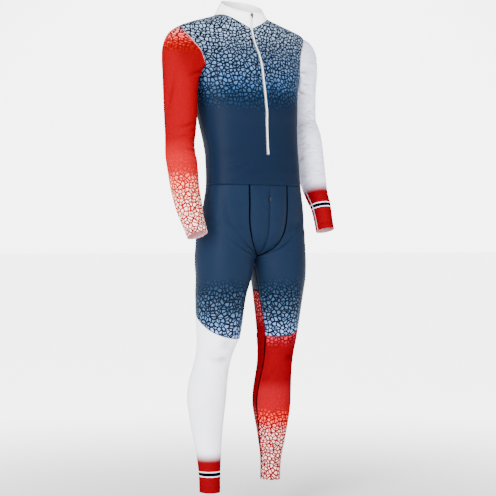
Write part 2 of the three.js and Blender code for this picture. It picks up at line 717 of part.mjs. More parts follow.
// Sleeve ring: turn 0 outwards, 90 to the front, 180 inwards and 270 to the back.
function sleeveRing(side, t, turns) {
  const table = sleeves[side];
  const top = table[0].z;
  const end = table[table.length - 1].z;
  const z = mix(top, end, t);
  const at = (column, height) => smooth(table, "z", column, height);
  const middle = vec(sign[side] * at("side", z), at("y", z), z);
  const before = Math.min(top, z + 14);
  const after = Math.max(end, z - 14);
  const axis = vec(
    sign[side] * (at("side", after) - at("side", before)),
    at("y", after) - at("y", before),
    after - before,
  ).normalize();
  const lean = Math.min(1, t * 3);
  axis.lerp(vec(0, 0, -1), 1 - lean).normalize();
  const out = vec(sign[side], 0, 0).addScaledVector(axis, -sign[side] * axis.x).normalize();
  const front = vec(0, -1, 0).addScaledVector(axis, axis.y).normalize();
  return turns.map((turn) => {
    const p = middle.clone();
    p.addScaledVector(out, at("wide", z) * Math.cos(radians(turn)));
    p.addScaledVector(front, at("deep", z) * Math.sin(radians(turn)));
    return p;
  });
}

function sleeveGrid(side) {
  const s = sign[side];
  const front = upper[side].front.slice(0, ARM_ROWS + 1).map((row) => row[row.length - 1]);
  const back = upper[side].back.slice(0, ARM_ROWS + 1).map((row) => row[row.length - 1]);
  const loop = [...front, ...back.slice(1, ARM_ROWS).reverse()];
  const count = loop.length;
  const turns = loop.map((p, k) => (k <= ARM_ROWS ? (180 * k) / ARM_ROWS : 180 + (180 * (k - ARM_ROWS)) / (count - ARM_ROWS)));
  const ring = sleeveRing(side, 0, turns);
  const grid = [];
  for (let i = 0; i < HEAD_ROWS; i += 1) {
    const t = i / HEAD_ROWS;
    grid.push(
      loop.map((p, k) => {
        const c = Math.cos(radians(turns[k]));
        const f = Math.sin(radians(turns[k]));
        const high = (1 + c) / 2;
        const leave = vec(s * mix(0.55, HEAD[side].out, high), -0.3 * f, mix(-0.83, HEAD[side].down, high)).normalize().multiplyScalar(mix(15, HEAD[side].long, high));
        const end = ring[k];
        const arrive = vec(0, 0, 1).multiplyScalar(mix(8, 90, high));
        const a = p.clone().multiplyScalar((1 - t) ** 3);
        a.addScaledVector(p.clone().add(leave), 3 * t * (1 - t) ** 2);
        a.addScaledVector(end.clone().add(arrive), 3 * t * t * (1 - t));
        a.addScaledVector(end, t ** 3);
        return i === 0 ? p : a;
      }),
    );
  }
  for (let i = 0; i <= SLEEVE_ROWS; i += 1) grid.push(sleeveRing(side, i / SLEEVE_ROWS, turns));
  return grid;
}
const sleeveGrids = { right: sleeveGrid("right"), left: sleeveGrid("left") };

// Collar: from the right front edge round the back to the left front edge.
function collarGrid() {
  const neck = 12 - BACK_COLUMNS.shoulder;
  const rightFront = upper.right.front[0].slice(0, neck + 1);
  const rightBack = upper.right.back[0].slice(0, BACK_COLUMNS.neck / 2).reverse();
  const leftBack = upper.left.back[0].slice(1, BACK_COLUMNS.neck / 2 + 1);
  const leftFront = upper.left.front[0].slice(0, neck + 1).reverse();
  const base = [...rightFront, ...rightBack, ...leftBack.slice(0, BACK_COLUMNS.neck / 2 - 1), ...leftFront];
  return range(COLLAR.rows)
    .reverse()
    .map((t) =>
      base.map((p) => {
        if (t === 0) return p;
        const turn = Math.atan2(p.x / NECK, -(p.y - 54) / 65);
        const c = Math.cos(turn);
        const top = vec(COLLAR.half * Math.sin(turn), COLLAR.middle - COLLAR.front * c, mix(COLLAR.backTop, COLLAR.frontTop, Math.pow((1 + c) / 2, 1.15)));
        if (Math.abs(p.x) < ZIP_HALF + 0.6 && p.y < 0) top.x = p.x;
        return lerp(p, top, t);
      }),
    );
}
const collar = collarGrid();

// All panels as lists of points and quads. A quad's corners run anticlockwise seen from outside.
const panels = {};
function addPanel(name, grid, options) {
  panels[name] = { grid, ...options };
}

function mirrorRow(row) {
  return row.slice().reverse();
}

const frontGrid = upper.right.front.map((row, i) => [...mirrorRow(row), ...upper.left.front[i]]);
addPanel("front_body", frontGrid, { slit: { column: 12, rows: upper.right.front.zipRow }, colour: "navy" });
const backGrid = upper.left.back.map((row, i) => [...mirrorRow(row), ...upper.right.back[i].slice(1)]);
addPanel("back_body", backGrid, { colour: "navy" });
addPanel("collar", collar.map(mirrorRow), { colour: "white" });
addPanel("sleeve_right", sleeveGrids.right, { tube: true, colour: "red", seam: 0.25 });
addPanel("sleeve_left", sleeveGrids.left.map(mirrorRow), { tube: true, colour: "pale", seam: 0.25 });
addPanel("pouch_right", pouches.right.map(mirrorRow), { colour: "navy" });
addPanel("pouch_left", pouches.left, { colour: "navy" });
for (const side of ["right", "left"]) {
  const turnFront = (grid) => (side === "right" ? grid.map(mirrorRow) : grid);
  const turnBack = (grid) => (side === "right" ? grid : grid.map(mirrorRow));
  const shank = side === "right" ? "white" : "red";
  addPanel(`front_thigh_${side}`, turnFront(legPanels[side].frontThigh), { colour: "navy" });
  addPanel(`back_thigh_${side}`, turnBack(legPanels[side].backThigh), { colour: "navy" });
  addPanel(`front_shank_${side}`, turnFront(legPanels[side].frontShank), { colour: shank });
  addPanel(`back_shank_${side}`, turnBack(legPanels[side].backShank), { colour: shank });
}

// The zip fills the slit from the top of the collar down.
const zipRows = [];
for (let i = 0; i < COLLAR.rows; i += 1) zipRows.push([collar[i][0], collar[i][collar[i].length - 1]]);
for (let i = 0; i <= upper.right.front.zipRow; i += 1) zipRows.push([upper.right.front[i][0], upper.left.front[i][0]]);
addPanel("zip_chain", zipRows, { colour: "pale", proud: 0.3, narrow: true, seam: 0.4 });

// Faces of a panel, seen from outside, with the columns running to the wearer's left at the front.
function quadsOf(panel) {
  const rows = panel.grid.length;
  const columns = panel.grid[0].length;
  const quads = [];
  const last = panel.tube ? columns : columns - 1;
  for (let i = 0; i < rows - 1; i += 1) {
    for (let j = 0; j < last; j += 1) {
      if (panel.slit && j === panel.slit.column && i < panel.slit.rows) continue;
      const k = (j + 1) % columns;
      quads.push([
        [i, j],
        [i + 1, j],
        [i + 1, k],
        [i, k],
      ]);
    }
  }
  return quads;
}

const keyOf = (p) => `${Math.round(p.x * 50)},${Math.round(p.y * 50)},${Math.round(p.z * 50)}`;
// Each panel's own normals are summed at the points it shares, so both sides of a seam lean the same way.
const normalAt = new Map();
const ownNormals = {};
for (const [name, panel] of Object.entries(panels)) {
  const own = new Map();
  for (const quad of quadsOf(panel)) {
    const [a, b, c, d] = quad.map(([i, j]) => panel.grid[i][j]);
    const n = new THREE.Vector3().crossVectors(c.clone().sub(a), d.clone().sub(b));
    for (const p of [a, b, c, d]) {
      const key = keyOf(p);
      if (!own.has(key)) own.set(key, vec(0, 0, 0));
      own.get(key).add(n);
    }
  }
  ownNormals[name] = own;
  for (const [key, n] of own) {
    n.normalize();
    if (!normalAt.has(key)) normalAt.set(key, vec(0, 0, 0));
    normalAt.get(key).addScaledVector(n, panel.narrow ? 0.2 : 1);
  }
}
for (const n of normalAt.values()) n.normalize();
// Round the armholes the shared normals are evened out, so the rims don't twist.
for (const side of ["right", "left"]) {
  const keys = panels[`sleeve_${side}`].grid[0].map(keyOf);
  for (let k = 0; k < 3; k += 1) {
    const before = keys.map((key) => normalAt.get(key).clone());
    keys.forEach((key, i) => {
      const n = before[i].clone().multiplyScalar(2);
      n.add(before[(i + 1) % keys.length]).add(before[(i + keys.length - 1) % keys.length]);
      normalAt.get(key).copy(n.normalize());
    });
  }
}
// In a sharp fold the inner points are set in further, so the wall keeps its thickness.
const reachAt = new Map();
for (const own of Object.values(ownNormals)) {
  for (const [key, n] of own) {
    const lean = Math.max(0.4, n.dot(normalAt.get(key)));
    reachAt.set(key, Math.max(reachAt.get(key) || 1, 1 / lean));
  }
}

function foldHeight(p) {
  let height = 0;
  for (const fold of folds) {
    const from = p.clone().sub(vec(fold.x, fold.y, fold.z));
    const along = vec(fold.dx, fold.dy, fold.dz).normalize();
    const a = from.dot(along);
    const across = Math.sqrt(Math.max(0, from.lengthSq() - a * a));
    if (Math.abs(a) > fold.long * 2 || across > fold.wide * 3) continue;
    height += fold.high * Math.exp(-((a / fold.long) ** 2) * 1.6 - ((across / fold.wide) ** 2));
  }
  return height;
}

// A closed wall from a grid: outer points, inner points set in along the normals, and rims.
function wallOf(panel) {
  const { grid } = panel;
  const rows = grid.length;
  const columns = grid[0].length;
  const quads = quadsOf(panel);
  const edges = new Map();
  const id = ([i, j]) => i * columns + j;
  for (const quad of quads) {
    for (let k = 0; k < 4; k += 1) {
      const a = id(quad[k]);
      const b = id(quad[(k + 1) % 4]);
      if (edges.has(`${b},${a}`)) edges.delete(`${b},${a}`);
      else edges.set(`${a},${b}`, [a, b]);
    }
  }
  const inset = new Map();
  const pointOf = (k) => grid[Math.floor(k / columns)][k % columns];
  for (const [a, b] of edges.values()) {
    const along = pointOf(b).clone().sub(pointOf(a)).normalize();
    for (const k of [a, b]) {
      const n = normalAt.get(keyOf(pointOf(k)));
      const inwards = new THREE.Vector3().crossVectors(n, along).normalize();
      if (!inset.has(k)) inset.set(k, []);
      inset.get(k).push(inwards);
    }
  }
  const outer = [];
  const inner = [];
  for (let i = 0; i < rows; i += 1) {
    for (let j = 0; j < columns; j += 1) {
      const k = i * columns + j;
      const p = grid[i][j].clone();
      const n = (normalAt.get(keyOf(p)) || vec(0, 0, 1)).clone();
      const lift = foldHeight(p);
      if (inset.has(k)) {
        const list = inset.get(k);
        const move = list.reduce((sum, v) => sum.add(v), vec(0, 0, 0)).normalize();
        const reach = (panel.seam || SEAM) / Math.max(0.35, Math.min(...list.map((v) => v.dot(move))));
        p.addScaledVector(move, reach);
      }
      p.addScaledVector(n, lift + (panel.proud || 0));
      outer.push(p);
      inner.push(p.clone().addScaledVector(n, -WALL * (reachAt.get(keyOf(grid[i][j])) || 1)));
    }
  }
  const triangles = [];
  const face = (a, b, c) => {
    if (a.distanceTo(b) < 1e-4 || b.distanceTo(c) < 1e-4 || c.distanceTo(a) < 1e-4) return;
    triangles.push([a, b, c]);
  };
  for (const quad of quads) {
    const [a, b, c, d] = quad.map(id);
    const short = outer[a].distanceTo(outer[c]) <= outer[b].distanceTo(outer[d]);
    if (short) {
      face(outer[a], outer[b], outer[c]);
      face(outer[a], outer[c], outer[d]);
      face(inner[a], inner[c], inner[b]);
      face(inner[a], inner[d], inner[c]);
    } else {
      face(outer[a], outer[b], outer[d]);
      face(outer[b], outer[c], outer[d]);
      face(inner[a], inner[d], inner[b]);
      face(inner[b], inner[d], inner[c]);
    }
  }
  for (const [a, b] of edges.values()) {
    // both sides of a seam split their rims along the same diagonal
    const p = pointOf(a);
    const q = pointOf(b);
    const first = p.z - q.z || p.x - q.x || p.y - q.y;
    if (first > 0) {
      face(outer[b], outer[a], inner[a]);
      face(outer[b], inner[a], inner[b]);
    } else {
      face(outer[b], outer[a], inner[b]);
      face(outer[a], inner[a], inner[b]);
    }
  }
  return { triangles, outer, inner };
}

const group = new THREE.Group();
group.name = "ski_race_suit";

function addMesh(name, triangles, colour, roughness, metalness) {
  const positions = [];
  for (const triangle of triangles) for (const p of triangle) positions.push(p.x, p.y - HOLD.y, p.z - HOLD.z);
  const geometry = new THREE.BufferGeometry();
  geometry.setAttribute("position", new THREE.Float32BufferAttribute(positions, 3));
  geometry.computeVertexNormals();
  const material = new THREE.MeshStandardMaterial({ color: colours[colour], roughness, metalness });
  const mesh = new THREE.Mesh(geometry, material);
  mesh.name = name;
  group.add(mesh);
  return mesh;
}

for (const [name, panel] of Object.entries(panels)) {
  addMesh(name, wallOf(panel).triangles, panel.colour, 0.62, 0);
}

// A small hard part, made in its own place: x across, y off the cloth, z along it upwards.
function solidTriangles(solid, place) {
  const mesh = solid.getMesh();
  const points = [];
  for (let i = 0; i < mesh.vertProperties.length; i += mesh.numProp) {
    const v = mesh.vertProperties;
    points.push(vec(v[i], v[i + 1], v[i + 2]).applyMatrix4(place));
  }
  const triangles = [];
  const mirrored = place.determinant() < 0;
  for (let i = 0; i < mesh.triVerts.length; i += 3) {
    const [a, b, c] = [0, 1, 2].map((k) => points[mesh.triVerts[i + k]]);
    triangles.push(mirrored ? [a, c, b] : [a, b, c]);
  }
  return triangles;
}

// Axes on the cloth at a point of the front middle: off is away from the cloth.
function placeAt(point, upPoint, lift) {
  const up = upPoint.clone().sub(point).normalize();
  const across = vec(1, 0, 0);
  const off = new THREE.Vector3().crossVectors(across, up).normalize();
  const origin = point.clone().addScaledVector(off, lift);
  return new THREE.Matrix4().makeBasis(across, off.clone(), up).setPosition(origin);
}

const SLIDER = { wide: 6.4, long: 8.4, thick: 2, ear: 1.1, rise: 2.2, bar: 0.6 };
const TAB = { wide: 4.2, long: 12.5, thick: 1.1, hole: 1.05 };

function box(x, y, z, cx, cy, cz) {
  return wasm.Manifold.cube([x, y, z], true).translate([cx, cy, cz]);
}

// Slider: a plate with two ears and a bar between them. y grows off the cloth.
function sliderSolid() {
  const plate = box(SLIDER.wide, SLIDER.thick, SLIDER.long, 0, SLIDER.thick / 2, 0);
  const barY = SLIDER.thick + SLIDER.rise - SLIDER.bar;
  const barZ = SLIDER.long / 2 - 1.6;
  const bar = wasm.Manifold.cylinder(SLIDER.wide - 0.4, SLIDER.bar, SLIDER.bar, 16, true)
    .rotate([0, 90, 0])
    .translate([0, barY, barZ]);
  const ear = (side) => box(SLIDER.ear, SLIDER.rise + 0.4, 2.6, side * (SLIDER.wide / 2 - SLIDER.ear / 2), SLIDER.thick + SLIDER.rise / 2 - 0.2, barZ);
  return { solid: plate.add(ear(1)).add(ear(-1)).add(bar), barY, barZ };
}

// Pull tab: a flat plate with a round eye about the bar, hanging straight down from it.
function tabSolid(wide, long) {
  const eyeWide = SLIDER.wide - 2 * SLIDER.ear - 0.8;
  const eye = wasm.Manifold.cylinder(eyeWide, 1.55, 1.55, 24, true).rotate([0, 90, 0]);
  const plate = box(eyeWide, TAB.thick, 3.4, 0, 1.0, -1.9);
  const blade = box(wide, TAB.thick, long - 3, 0, 1.0, -3 - (long - 3) / 2);
  const hole = wasm.Manifold.cylinder(eyeWide + 4, TAB.hole, TAB.hole, 24, true).rotate([0, 90, 0]);
  return eye.add(plate).add(blade).subtract(hole);
}

function addSlider(prefix, point, upPoint, lift, wide, long, colour) {
  const place = placeAt(point, upPoint, lift);
  const made = sliderSolid();
  addMesh(`${prefix}_slider`, solidTriangles(made.solid, place), colour, 0.4, 0.6);
  const hinge = vec(0, made.barY, made.barZ).applyMatrix4(place);
  const tabPlace = new THREE.Matrix4().makeBasis(vec(1, 0, 0), vec(0, -1, 0), vec(0, 0, 1)).setPosition(hinge);
  addMesh(`${prefix}_pull`, solidTriangles(tabSolid(wide, long), tabPlace), colour, 0.4, 0.6);
  return hinge;
}

const middleOf = (a, b) => lerp(a, b, 0.5);
const zipTop = middleOf(collar[0][0], collar[0][collar[0].length - 1]);
const zipBase = middleOf(collar[COLLAR.rows][0], collar[COLLAR.rows][collar[0].length - 1]);
const zipSliderAt = lerp(zipTop, zipBase, 0.16);
const zipHinge = addSlider("zip", zipSliderAt, zipTop, 0.75, TAB.wide, TAB.long, "dark");
const flyPoint = lowerAtX(0, 977, false);
const flyUp = lowerAtX(0, 990, false);
const flyHinge = addSlider("fly", flyPoint, flyUp, 0.6, 3.4, 11.5, "metal");

// Stop at the lower end of the zip.
const zipRowsCount = upper.right.front.zipRow;
const stopAt = middleOf(upper.right.front[zipRowsCount][0], upper.left.front[zipRowsCount][0]);
const stopUp = middleOf(upper.right.front[zipRowsCount - 1][0], upper.left.front[zipRowsCount - 1][0]);
const stopPlace = placeAt(stopAt, stopUp, 0.85);
const stop = box(5.4, 1.4, 5, 0, 0.7, 0.5);
addMesh("zip_stop", solidTriangles(stop, stopPlace), "dark", 0.5, 0);

export const hinges = { zipHinge, flyHinge };
export default group;
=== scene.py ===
import bpy
import math
import numpy as np
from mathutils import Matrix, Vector


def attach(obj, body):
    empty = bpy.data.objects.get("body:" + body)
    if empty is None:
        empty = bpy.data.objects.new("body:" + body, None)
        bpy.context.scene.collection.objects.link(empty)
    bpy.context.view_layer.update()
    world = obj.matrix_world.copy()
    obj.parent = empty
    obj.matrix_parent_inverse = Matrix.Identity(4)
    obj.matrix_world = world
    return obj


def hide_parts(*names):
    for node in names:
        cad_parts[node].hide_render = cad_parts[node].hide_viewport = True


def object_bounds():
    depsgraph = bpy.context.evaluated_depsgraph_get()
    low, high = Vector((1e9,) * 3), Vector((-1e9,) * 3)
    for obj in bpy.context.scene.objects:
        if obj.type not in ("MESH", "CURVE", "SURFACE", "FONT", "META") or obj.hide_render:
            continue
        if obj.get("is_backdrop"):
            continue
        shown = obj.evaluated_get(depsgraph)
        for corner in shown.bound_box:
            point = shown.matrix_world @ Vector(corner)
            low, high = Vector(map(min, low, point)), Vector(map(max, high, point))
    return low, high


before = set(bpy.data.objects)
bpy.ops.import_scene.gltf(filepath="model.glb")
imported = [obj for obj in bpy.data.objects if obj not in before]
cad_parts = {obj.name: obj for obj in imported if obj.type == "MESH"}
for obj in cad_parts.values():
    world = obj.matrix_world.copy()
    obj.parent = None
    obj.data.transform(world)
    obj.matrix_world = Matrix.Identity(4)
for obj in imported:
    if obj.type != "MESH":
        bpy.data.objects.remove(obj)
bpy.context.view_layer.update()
rng = np.random.default_rng(11)
print("frame loaded")

# Lengths below are millimetres above the floor; hold is the origin of the finished part.
hold = np.array([0.0, 55.0, 1530.0])
ground = hold[2] / 1000  # the origin above the floor, in metres
cloth = {"wall": 1.2, "fine": 6, "fineSleeve": 8, "zipHalf": 4.8, "zipEnd": 1106, "waist": 1017, "thighGap": 1.5,
         "blend": 20, "flat": 0.92, "oval": 2.15, "neck": 83, "neckRise": 1496, "neckSide": 1538, "neckBack": 9,
         "outseam": 220, "hip": 760, "creaseScale": 1.5, "sleeveScale": 1.5, "shadeDepth": 1.3, "pouchLift": 5.5,
         "pouchEdge": 20, "pouchFade": 40, "still": 0.75, "stillWide": 7}
thighTop = {"own": 800, "fade": 880, "end": 940}  # heights over which a leg's own form gives way to the seat's
inward = {"side": 60, "y": -15}  # where level rays start at the waist; on a leg it is the leg's middle
innerThighs = 806  # height below which the thighs are kept apart
sign = {"right": -1, "left": 1}


def columns(names, rows):  # a table with named columns, in the order of its first one
    order = sorted(rows)
    made = {name: np.array([row[i] for row in order], float) for i, name in enumerate(names.split())}
    made["key"] = made[names.split()[0]]
    return made


torso = columns("z half front back line", (
    (1600, 50, 40, 48, 62), (1550, 70, 50, 57, 60), (1538, 85, 60, 60, 57), (1525, 124, 62, 64, 55),
    (1508, 177, 62, 68, 50), (1492, 220, 60, 75, 45), (1470, 225, 66, 84, 42), (1445, 222, 75, 92, 40),
    (1410, 211, 96, 96, 38), (1360, 196, 110, 96, 34), (1310, 179, 111, 100, 25), (1245, 168, 110, 104, 12),
    (1200, 162, 101, 104, 2), (1106, 153, 81, 117, -25), (1022, 156, 80, 112, -32), (955, 165, 79, 126, -34),
    (900, 172, 78, 130, -31), (840, 177, 77, 122, -28)))
seat = {"top": 900, "bottom": 801, "middle": -5, "front": 100, "back": 104, "narrow": 0.6}
legs = {
    "right": columns("z side y wide deep", (
        (940, 84, -12, 70, 70), (880, 90, -9, 85, 85), (800, 92, -6, 87, 89), (745, 95, -6, 82, 85),
        (688, 100, 2, 75, 77), (561, 115, -8, 62, 66), (504, 119, 13, 51, 56), (390, 126, 40, 56, 62),
        (300, 131, 31, 47, 50), (210, 137, 10, 35, 38), (139, 142, -3, 30, 33), (98, 144, -7, 29, 33))),
    "left": columns("z side y wide deep", (
        (940, 84, -14, 70, 70), (880, 90, -13, 85, 85), (800, 92, -14, 87, 89), (745, 95, -17, 82, 85),
        (688, 100, -9, 75, 77), (544, 115, 21, 58, 61), (483, 118, 35, 52, 57), (359, 125, 64, 57, 63),
        (257, 131, 72, 44, 48), (157, 135, 84, 30, 34), (98, 137, 90, 29, 33)))}
hem = {"right": 103, "left": 106}
arms = {
    "right": columns("z side y wide deep", (
        (1300, 235, 12, 47, 62), (1240, 237, 7, 46, 60), (1202, 238, 4, 45, 56), (1134, 241, 4, 42, 48),
        (1060, 246, -22, 44, 46), (1008, 247, -36, 42, 43), (944, 246, -61, 39, 39), (887, 240, -84, 32, 34),
        (868, 238, -92, 31, 33))),
    "left": columns("z side y wide deep", (
        (1300, 233, 66, 46, 60), (1235, 235, 65, 45, 56), (1164, 238, 30, 43, 50), (1058, 247, 17, 42, 44),
        (1006, 250, 2, 37, 38), (956, 252, -24, 31, 32), (905, 252, -40, 28, 30), (885, 252, -46, 28, 30)))}
headLeave = {"right": {"out": 0.93, "down": -0.32, "long": 76}, "left": {"out": 1.0, "down": -0.2, "long": 82}}
headUnder = {"out": 0.55, "down": -0.83, "long": 15, "forward": -0.3}  # the same below the arm
headArrive = {"under": 8, "top": 90, "level": 3, "near": 14}
armhole = columns("k z turn", (
    (0, 1492, 90), (1, 1474, 72), (2, 1450, 62), (3, 1418, 56), (4, 1385, 56), (5, 1358, 64), (6, 1341, 77),
    (7, 1335, 90)))
shoulder = columns("t z", ((0, 1538), (0.3, 1526), (0.62, 1511.5), (1, 1492)))
pouchSide = columns("z x", ((1022, 67), (940, 67), (905, 65), (875, 58), (850, 47)))
pouchBottom = columns("k x z", ((0, 47, 850), (1, 38, 837), (2, 28, 826), (3, 18, 818), (4, 9, 811), (5, 0, 808)))
kneeSeam = columns("t z", ((0, 562), (0.2, 561), (0.4, 566), (0.6, 584), (0.8, 612), (1, 640)))
backSeam = {"inner": 700, "outer": 706, "rise": 6}
inseam = columns("z turn", ((810, 0), (700, 6), (562, 20), (386, 5), (280, -3), (98, -22)))
collarSize = {"half": 66, "middle": 41, "front": 55, "back": 55, "frontTop": 1544, "backTop": 1593, "rows": 3,
              "baseMiddle": 54, "baseDeep": 65}
count = {"half": 12, "leg": 8, "pouch": 4, "shoulder": 6, "neck": 8, "arm": 9, "side": 10, "pouchRows": 7, "bottom": 5,
         "crotch": 2, "inner": 4, "knee": 5, "shank": 12, "head": 5, "sleeve": 16}
frontHalf, shoulderCols, arm = count["half"], count["shoulder"], count["arm"]  # columns of the coarse grids
neckHalf, backHalf = frontHalf - shoulderCols, shoulderCols + count["neck"] // 2
frontCols, collarCols = 2 * frontHalf + 1, 2 * neckHalf + count["neck"]


def curve(rows, column, at):  # smooth value of a table's column, with no overshoot between rows
    k, v = rows["key"], rows[column]
    slope = np.diff(v) / np.diff(k)
    tangent = np.concatenate([slope[:1], np.zeros(len(k) - 2), slope[-1:]])
    a, b = slope[:-1], slope[1:]
    same = a * b > 0
    tangent[1:-1] = np.where(same, 2 * a * b / np.where(same, a + b, 1), 0)
    at = np.clip(np.asarray(at, float), k[0], k[-1])
    i = np.clip(np.searchsorted(k, at) - 1, 0, len(k) - 2)
    h = k[i + 1] - k[i]
    t = (at - k[i]) / h
    t2, t3 = t * t, t * t * t
    return ((2 * t3 - 3 * t2 + 1) * v[i] + (t3 - 2 * t2 + t) * tangent[i] * h
            + (3 * t2 - 2 * t3) * v[i + 1] + (t3 - t2) * tangent[i + 1] * h)


def mix(a, b, t):
    return a + (b - a) * t


def torsoPoint(s, turn, z):  # turn 0 at the front, 90 at the side, 180 at the back
    turn, z = np.broadcast_arrays(np.asarray(turn, float), np.asarray(z, float))
    c, n = np.cos(np.radians(turn)), np.sin(np.radians(turn))
    depth = np.where(turn < 90, curve(torso, "front", z), curve(torso, "back", z))
    x = s * curve(torso, "half", z) * np.abs(n) ** cloth["flat"]
    y = curve(torso, "line", z) - depth * np.sign(c) * np.abs(c) ** cloth["flat"]
    return np.stack([x, y, z], -1)


def turnAt(x, z):
    across = np.minimum(1, x / curve(torso, "half", z)) ** (1 / cloth["flat"])
    return np.degrees(np.arcsin(across))


def projectTorso(p, behind):
    z = p[..., 2]
    half, line = curve(torso, "half", z), curve(torso, "line", z)
    depth = curve(torso, "back" if behind else "front", z)
    across = (np.abs(p[..., 0]) / half) ** (1 / cloth["flat"])
    ahead = (np.maximum(0, (p[..., 1] - line) if behind else (line - p[..., 1])) / depth) ** (1 / cloth["flat"])
    turn = np.degrees(np.arctan2(across, ahead))
    return torsoPoint(np.where(p[..., 0] < 0, -1, 1), 180 - turn if behind else turn, z)


def ovalDistance(p, x, y, wide, front, back):
    deep = np.where(p[:, 1] < y, front, back)
    power = cloth["oval"]
    r = ((np.abs(p[:, 0] - x) / wide) ** power + (np.abs(p[:, 1] - y) / deep) ** power) ** (1 / power)
    return (r - 1) * np.minimum(wide, deep)


def seatDistance(p):
    z = p[:, 2]
    line, half = curve(torso, "line", z), curve(torso, "half", z)
    front, back = curve(torso, "front", z), curve(torso, "back", z)
    t = np.clip((seat["top"] - z) / (seat["top"] - seat["bottom"]), 0, 1)
    shrink = np.sqrt(np.maximum(1 - t * t, 1e-6))
    middle = np.where(t > 0, mix(float(curve(torso, "line", seat["top"])), seat["middle"], t), line)
    d = ovalDistance(p, 0, middle, half * mix(1, seat["narrow"], t) * shrink,
                     mix(front, seat["front"], t) * shrink, mix(back, seat["back"], t) * shrink)
    return np.where(t >= 1, 40 + seat["bottom"] - z, d)


def legDistance(side, p):
    z, table = p[:, 2], legs[side]
    at = np.minimum(z, thighTop["end"])
    d = ovalDistance(p, sign[side] * curve(table, "side", at), curve(table, "y", at), curve(table, "wide", at),
                     curve(table, "deep", at), curve(table, "deep", at))
    d = np.where(z > thighTop["fade"], d + (z - thighTop["fade"]) * 0.7, d)
    return np.where(z > thighTop["end"], 60 + z - thighTop["end"], d)


def blendTwo(a, b, k):
    h = np.maximum(k - np.abs(a - b), 0) / k
    return np.minimum(a, b) - h * h * k / 4


def lowerDistance(p):
    both = blendTwo(legDistance("right", p), legDistance("left", p), cloth["blend"])
    return blendTwo(seatDistance(p), both, cloth["blend"])


def rayStart(side, z):
    z = np.asarray(z, float)
    at = np.minimum(z, thighTop["own"])
    t = np.clip((z - thighTop["own"]) / (cloth["waist"] - thighTop["own"]), 0, 1)
    x = mix(sign[side] * curve(legs[side], "side", at), sign[side] * inward["side"], t)
    return np.stack([x, mix(curve(legs[side], "y", at), inward["y"], t), z], -1)


def castLower(side, z, turn):  # where level rays leave the lower body, or meet the inner thigh plane
    z, turn = np.broadcast_arrays(np.asarray(z, float), np.asarray(turn, float))
    shape = z.shape
    start = rayStart(side, z.ravel())
    s, angle = sign[side], np.radians(turn.ravel())
    step = np.stack([-s * np.cos(angle), -np.sin(angle), 0 * angle], -1)
    pace = 8.0
    inside, outside = np.zeros(len(angle)), np.full(len(angle), pace)
    going = np.ones(len(angle), bool)
    for k in range(50):
        going = going & (lowerDistance(start + step * outside[:, None]) < 0)
        if not going.any():
            break
        inside = np.where(going, outside, inside)
        outside = np.where(going, outside + pace, outside)
    for k in range(20):
        r = (inside + outside) / 2
        within = lowerDistance(start + step * r[:, None]) < 0
        inside, outside = np.where(within, r, inside), np.where(within, outside, r)
    p = start + step * inside[:, None]
    across = -s * step[:, 0]
    r = (s * start[:, 0] - cloth["thighGap"]) / np.where(np.abs(across) < 1e-6, 1e-6, across)
    p = np.where((s * p[:, 0] < cloth["thighGap"])[:, None], start + step * r[:, None], p)
    return p.reshape(shape + (3,))


def turnOf(side, p):
    start = rayStart(side, p[..., 2])
    return np.degrees(np.arctan2(start[..., 1] - p[..., 1], -sign[side] * (p[..., 0] - start[..., 0])))


def bisect(make, a, b):  # point on the line between a, inside the lower body, and b, outside
    a, b = np.broadcast_arrays(np.asarray(a, float), np.asarray(b, float))
    for k in range(34):
        m = (a + b) / 2
        within = lowerDistance(make(m)) < 0
        a, b = np.where(within, m, a), np.where(within, b, m)
    return make(a)


def lowerAtX(x, z, behind):
    x, z = np.broadcast_arrays(np.atleast_1d(np.asarray(x, float)), np.atleast_1d(np.asarray(z, float)))
    far = 200.0 if behind else -240.0
    return bisect(lambda y: np.stack([x, y, z], -1), np.full(len(x), -20.0), np.full(len(x), far))


def crotchPoint(y):
    y = np.atleast_1d(np.asarray(y, float))
    return bisect(lambda z: np.stack([0 * y, y, z], -1), np.full(len(y), 900.0), np.full(len(y), 700.0))


def spread(points, n):  # n + 1 points evenly along a path
    length = np.concatenate([[0], np.cumsum(np.linalg.norm(np.diff(points, axis=0), axis=1))])
    at = np.linspace(0, length[-1], n + 1)
    return np.stack([np.interp(at, length, points[:, i]) for i in range(points.shape[1])], -1)


def fill(top, bottom, inner, outer):  # values between four edges, rows from top to bottom
    v = np.linspace(0, 1, len(inner))[:, None, None]
    u = np.linspace(0, 1, len(top))[None, :, None]
    corners = mix(mix(top[0], top[-1], u), mix(bottom[0], bottom[-1], u), v)
    return mix(inner[:, None], outer[:, None], u) + mix(top[None], bottom[None], v) - corners


def relax(grid, times, project):
    for k in range(times):
        grid[1:-1, 1:-1] = project((grid[:-2, 1:-1] + grid[2:, 1:-1] + grid[1:-1, :-2] + grid[1:-1, 2:]) / 4)
    return grid


def neckAt(t):  # t 0 at the front middle, 1 at the side, 2 at the back middle
    x = cloth["neck"] * math.sin(math.radians(90 * t))
    if t <= 1:
        rise = cloth["neckSide"] - cloth["neckRise"]
        z = cloth["neckRise"] + rise * math.sin(math.radians(90 * t)) ** 1.3
        return turnAt(max(x, cloth["zipHalf"]), z), z
    z = cloth["neckSide"] + cloth["neckBack"] * max(0, -math.cos(math.radians(90 * t))) ** 1.2
    return 180 - math.degrees(math.asin(min(1, x / cloth["neck"]) ** (1 / cloth["flat"]))), z


